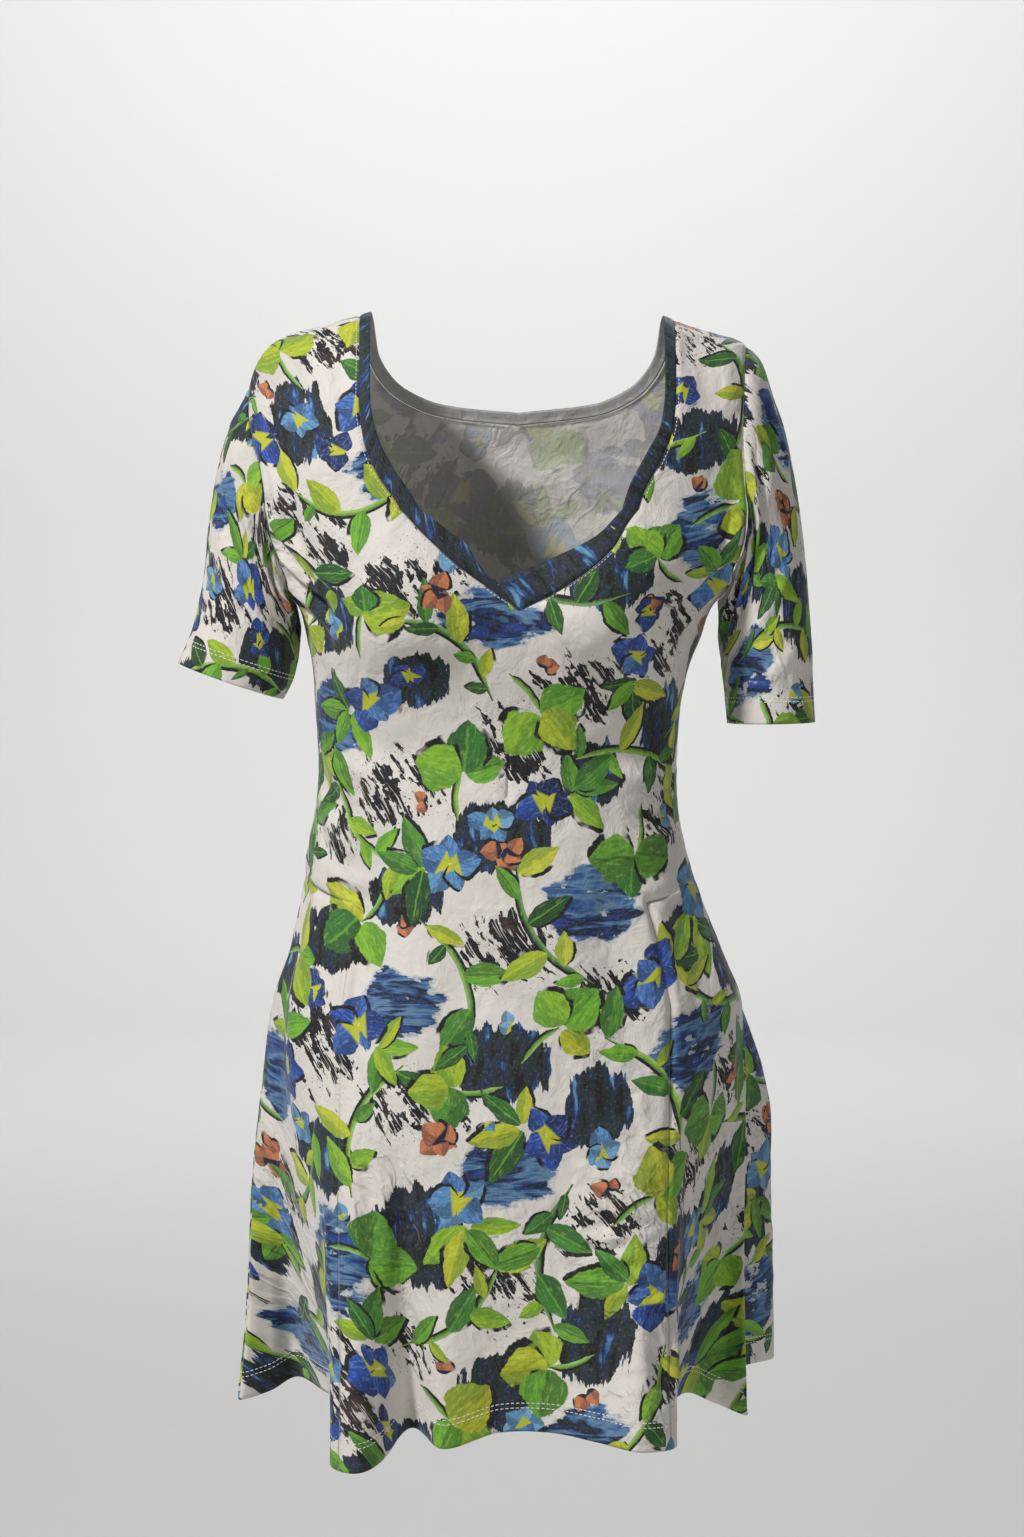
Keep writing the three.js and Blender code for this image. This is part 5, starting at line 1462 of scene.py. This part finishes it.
LEFT_SLEEVE_CREASES = [       # -U is the front
    ([(-152, -4), (-143, -56), (-150, -112)], 2.4, 5.0, "soft", "a"),
    ([(-170, -4), (-163, -58), (-170, -120)], -2.2, 5.0, "soft", "a"),
    ([(-134, -4), (-126, -50), (-132, -96)], -2.0, 4.8, "soft", "a"),
    ([(-184, -4), (-180, -50), (-186, -110)], 1.6, 5.0, "soft", "a"),
    ([(-114, -4), (-108, -42), (-112, -84)], 1.5, 4.8, "soft", "a"),
    ([(-94, -4), (-90, -36), (-92, -74)], -1.1, 5.0, "soft", "a"),
    ([(-44, -30), (-52, -70), (-46, -116)], -0.8, 7.0, "soft", ""),
    ([(-26, -20), (-30, -60), (-24, -100)], 0.8, 6.0, "soft", ""),
    ([(-40, -150), (-74, -164), (-110, -160)], 0.9, 7.0, "soft", ""),
    ([(-90, -200), (-124, -216), (-160, -210)], -1.0, 6.0, "soft", ""),
    ([(-30, -220), (-66, -232), (-96, -226)], 0.8, 7.0, "soft", ""),
    ([(-110, -240), (-136, -250), (-164, -246)], 0.8, 6.0, "soft", ""),
    ([(150, -4), (142, -50), (150, -104)], 2.0, 5.0, "soft", "a"),
    ([(132, -4), (126, -44), (132, -88)], -1.8, 5.0, "soft", "a"),
    ([(110, -4), (104, -40), (108, -76)], 1.2, 5.0, "soft", "a"),
    ([(40, -80), (72, -96), (106, -90)], 0.8, 7.0, "soft", ""),
    ([(36, -170), (74, -184), (108, -176)], -0.9, 7.0, "soft", ""),
]


def crumples(seed, boxes):
    """Small creases for the cloth between: (lowest U, highest U, lowest V, highest V, how many, height)."""
    rng = np.random.default_rng(seed)
    rows = []
    for u0, u1, v0, v1, n, high in boxes:
        for _ in range(n):
            u, v = rng.uniform(u0, u1), rng.uniform(v0, v1)
            a = rng.uniform(0, math.pi)
            length = rng.uniform(14, 42)
            bend = rng.uniform(-0.5, 0.5)
            pts = [(u + length * k * math.cos(a + bend * k), v + length * k * math.sin(a + bend * k)) for k in (0, 0.5, 1.0)]
            rows.append((pts, high * rng.uniform(0.4, 1.0) * rng.choice([-1, 1]), rng.uniform(2.6, 4.4), rng.choice(["sharp", "soft"]), ""))
    return rows


FRONT_CREASES += crumples(11, [(45, 165, -340, -140, 14, 0.6), (-150, -40, -330, -90, 12, 0.6), (90, 200, -140, -20, 10, 0.5), (-200, -90, -150, -20, 8, 0.5),
                               (-40, 40, -380, -20, 12, 0.5), (-180, -60, 10, 150, 10, 0.4), (60, 180, 10, 150, 10, 0.4), (160, 330, -360, -160, 14, 0.6), (-360, -160, -370, -160, 14, 0.6)])
BACK_CREASES += crumples(12, [(-120, 120, -330, -120, 20, 0.7), (-330, -130, -350, -130, 18, 0.7), (130, 330, -350, -130, 18, 0.7), (-140, 140, 10, 150, 18, 0.5), (-120, 120, 160, 330, 12, 0.4)])
RIGHT_SLEEVE_CREASES += crumples(13, [(-150, 150, -200, -20, 14, 0.5)])
LEFT_SLEEVE_CREASES += crumples(14, [(-180, 160, -270, -20, 18, 0.5)])


def wider(rows, by=1.4):
    return [(points, height, width * by, kind, ends) for points, height, width, kind, ends in rows]


def undulate(sheet, amount=0.5, size=(46, 46, 60), fine=0.12, seed=3):
    big = vnoise(sheet.p, size, seed) * amount
    small = vnoise(sheet.p, (11, 11, 17), seed + 7) * fine
    return (big + small) * np.where(sheet.cut[:, 1] > 60, 0.55, 1.0)


offsets = {"front_panel": 0.0, "side_skirt_panel_right": 0.0, "side_skirt_panel_left": 0.0, "back_panel": 3.1,
           "sleeve_cloth_right": 5.3, "sleeve_cloth_left": 7.7, "neck_band_front_right": 9.1, "neck_band_front_left": 10.3, "neck_band_rear": 11.9}
for s in (front, back, side_right, side_left, sleeves["right"], sleeves["left"], *bands.values()):
    s.offset = offsets[s.name]
    s.crease_cut = getattr(s, "crease_cut", s.cut)

for s, rows in ((front, FRONT_CREASES), (side_right, FRONT_CREASES), (side_left, FRONT_CREASES), (back, BACK_CREASES),
                (sleeves["right"], RIGHT_SLEEVE_CREASES), (sleeves["left"], LEFT_SLEEVE_CREASES)):
    s.crease(1.9 * crease_height(s.crease_cut, wider(rows)) + undulate(s, 1.1, fine=0.35))
    s.press_seams()
for s in bands.values():
    s.press_seams(0.35, 1.5, 0.15)

# ---- the design: one tossed pattern for the front and its side pieces, others for the back and the sleeves -------------------
pieces = {}
FRONT_PRINT = tossed(-396, 396, -410, 480, 61)
BACK_PRINT = tossed(-402, 402, -410, 480, 62)
RIGHT_PRINT = tossed(-190, 190, -214, 20, 63, (66.0, 74.0), 1.3)
LEFT_PRINT = tossed(-196, 196, -304, 20, 64, (66.0, 74.0), 1.3)
for key, s, (stems, leaves, bark, wash, dark) in (
        ("front", front, FRONT_PRINT), ("side_skirt_right", side_right, FRONT_PRINT), ("side_skirt_left", side_left, FRONT_PRINT),
        ("back", back, BACK_PRINT), ("sleeve_right", sleeves["right"], RIGHT_PRINT), ("sleeve_left", sleeves["left"], LEFT_PRINT)):
    pieces[key] = dress_up(s, zones(s, bark, wash, dark), stems, leaves, hem_extra=0.5)

# ---- neck band: brushed navy all the way round --------------------------------------------------------------------------------
for key, node in (("right", "neck_band_right"), ("left", "neck_band_left"), ("back", "neck_band_back")):
    s = bands[key]
    pieces[node] = dress_up(s, zones(s, [], [], [(150, 6, 600, 60, 1.0)]), [], [], 1.3)


# ---- stitching: small white threads, half sunk in the cloth --------------------------------------------------------------------
def dashes(name, runs, long_=3.0, gap=0.7, radius=0.29):
    """runs: (points, outward normals) along which stitches lie."""
    verts, faces, count = [], [], 0
    ring_ = 6
    for pts, nrm in runs:
        run = np.concatenate([[0], np.cumsum(np.linalg.norm(np.diff(pts, axis=0), axis=1))])
        if run[-1] < long_:
            continue
        n = int(run[-1] // (long_ + gap))
        start = (np.arange(n) + 0.5) * (run[-1] / n) - long_ / 2
        def at(s, arr):
            return np.stack([np.interp(s, run, arr[:, k]) for k in range(3)], -1)
        a, mid, b = at(start, pts), at(start + long_ / 2, pts), at(start + long_, pts)
        nn = at(start + long_ / 2, nrm)
        nn /= np.linalg.norm(nn, axis=1)[:, None]
        t = b - a
        t /= np.linalg.norm(t, axis=1)[:, None]
        side_ = np.cross(nn, t)
        side_ /= np.linalg.norm(side_, axis=1)[:, None]
        lift = nn * 0.10
        tips = [a - nn * 0.12, b - nn * 0.12]
        rings = []
        for s in (0.22, 0.5, 0.78):
            centre = (a * (1 - s) + b * s) * (1 - 0.0) + (mid - (a + b) / 2) * (1 - abs(s - 0.5) * 2) + lift * (1.3 if s == 0.5 else 1.0)
            for k in range(ring_):
                ang = 2 * math.pi * k / ring_
                rings.append(centre + side_ * (radius * 1.15 * math.cos(ang)) + nn * (radius * 0.8 * math.sin(ang)))
        block = np.stack([tips[0]] + rings + [tips[1]], axis=1)          # n x (2 + 18) x 3
        m = block.shape[1]
        f = []
        for k in range(ring_):
            k2 = (k + 1) % ring_
            f.append((0, 1 + k2, 1 + k, 1 + k))
            for r in (0, 1):
                f.append((1 + r * ring_ + k, 1 + r * ring_ + k2, 1 + (r + 1) * ring_ + k2, 1 + (r + 1) * ring_ + k))
            f.append((1 + 2 * ring_ + k, 1 + 2 * ring_ + k2, m - 1, m - 1))
        f = np.array(f)
        tri = f[f[:, 2] == f[:, 3]][:, :3]
        quad = f[f[:, 2] != f[:, 3]]
        base = count + np.arange(len(block))[:, None, None] * m
        faces.append(((tri[None] + base).reshape(-1, 3), (quad[None] + base).reshape(-1, 4)))
        verts.append(block.reshape(-1, 3))
        count += len(block) * m
    tris = np.concatenate([x[0] for x in faces])
    quads = np.concatenate([x[1] for x in faces])
    ob = mesh_object(name, np.concatenate(verts), [tris, quads], True, (THREAD,))
    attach(ob, "root")
    return ob


def row_line(sheet, grid, inset, from_end=False, first=0, last=None):
    """A line across a grid, inset millimetres in from its first row (or its last)."""
    g = sheet.grids[grid]
    p = sheet.p[g[::-1] if from_end else g]
    run = np.concatenate([np.zeros((1, p.shape[1])), np.cumsum(np.linalg.norm(np.diff(p, axis=0), axis=2), axis=0)])
    rows = np.array([np.interp(inset, run[:, c], np.arange(len(g))) for c in range(g.shape[1])])
    if from_end:
        rows = len(g) - 1 - rows
    return sheet.sample(grid, rows, np.arange(g.shape[1]).astype(float))


def col_line(sheet, grid, inset, rows, from_end=False):
    """A line up a grid, inset millimetres in from its first column (or its last)."""
    g = sheet.grids[grid]
    p = sheet.p[g[:, ::-1] if from_end else g]
    run = np.concatenate([np.zeros((p.shape[0], 1)), np.cumsum(np.linalg.norm(np.diff(p, axis=1), axis=2), axis=1)], axis=1)
    cols = np.array([np.interp(inset, run[r], np.arange(g.shape[1])) for r in rows])
    if from_end:
        cols = g.shape[1] - 1 - cols
    return sheet.sample(grid, rows.astype(float), cols)


HEM_UP = (17.0, 20.5)
dashes("hem_thread", [row_line(s, g, up) for up in HEM_UP for s, g in ((front, 2), (back, 2), (side_right, 0), (side_left, 0))])
for side in ("right", "left"):
    dashes("cuff_thread_" + side, [row_line(sleeves[side], 0, up, from_end=True) for up in (16.5, 19.5)])
neck_runs = []
for side, grid, end in (("right", 0, True), ("left", 1, False)):
    rows = np.nonzero(front_rows[side][:, 0] >= 1.004)[0]
    neck_runs.append(col_line(front, grid, 2.2, rows, end))
for side, grid, end in (("left", 0, True), ("right", 1, False)):
    rows = np.nonzero(back_rows[side][:, 0] >= 1.0)[0]
    neck_runs.append(col_line(back, grid, 2.2, rows, end))
dashes("neck_thread", neck_runs, 2.4, 0.7, 0.24)

for node, ob in pieces.items():
    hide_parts(node)

# ---- stage ---------------------------------------------------------------------------------------------------------------
def backdrop():
    profile = [(-26.0, -1.35), (6.6, -1.35)] + [(6.6 + 1.4 * math.sin(a * RAD), 0.05 - 1.4 * math.cos(a * RAD)) for a in range(6, 91, 6)] + [(8.0, 8.0)]
    verts = [(x, y, z) for y, z in profile for x in (-26.0, 26.0)]
    faces = [(2 * i, 2 * i + 1, 2 * i + 3, 2 * i + 2) for i in range(len(profile) - 1)]
    me = bpy.data.meshes.new("floor")
    me.from_pydata(verts, [], faces)
    for f in me.polygons:
        f.use_smooth = True
    ob = bpy.data.objects.new("floor", me)
    bpy.context.scene.collection.objects.link(ob)
    mat = bpy.data.materials.new("floor_paper")
    mat.use_nodes = True
    bsdf = mat.node_tree.nodes["Principled BSDF"]
    bsdf.inputs["Base Color"].default_value = (0.76, 0.76, 0.75, 1)
    bsdf.inputs["Roughness"].default_value = 0.9
    me.materials.append(mat)


backdrop()


def area_light(name, at, to, size, power, colour=(1, 1, 1), spread=180):
    d = bpy.data.lights.new(name, "AREA")
    d.shape = "RECTANGLE"
    d.size, d.size_y = size
    d.energy = power
    d.spread = spread * RAD
    d.color = colour
    ob = bpy.data.objects.new(name, d)
    bpy.context.scene.collection.objects.link(ob)
    ob.location = at
    ob.rotation_euler = (Vector(to) - Vector(at)).to_track_quat("-Z", "Y").to_euler()


area_light("key", (-1.9, -1.75, 2.15), (0, 0, -0.4), (0.4, 0.4), 136)
area_light("fill", (2.0, -2.4, 0.3), (0, 0, -0.45), (1.4, 1.4), 16)
area_light("back_light", (0.8, 2.0, 1.4), (0, 0, -0.4), (1.2, 1.0), 22)
area_light("wall_light", (0.0, 3.6, 3.6), (0, 8.0, 0.6), (4.0, 1.0), 205, spread=160)
world = bpy.data.worlds.new("studio")
world.use_nodes = True
world.node_tree.nodes["Background"].inputs[0].default_value = (0.95, 0.97, 1.0, 1)
world.node_tree.nodes["Background"].inputs[1].default_value = 0.11
bpy.context.scene.world = world
bpy.context.scene.view_settings.view_transform = "Standard"
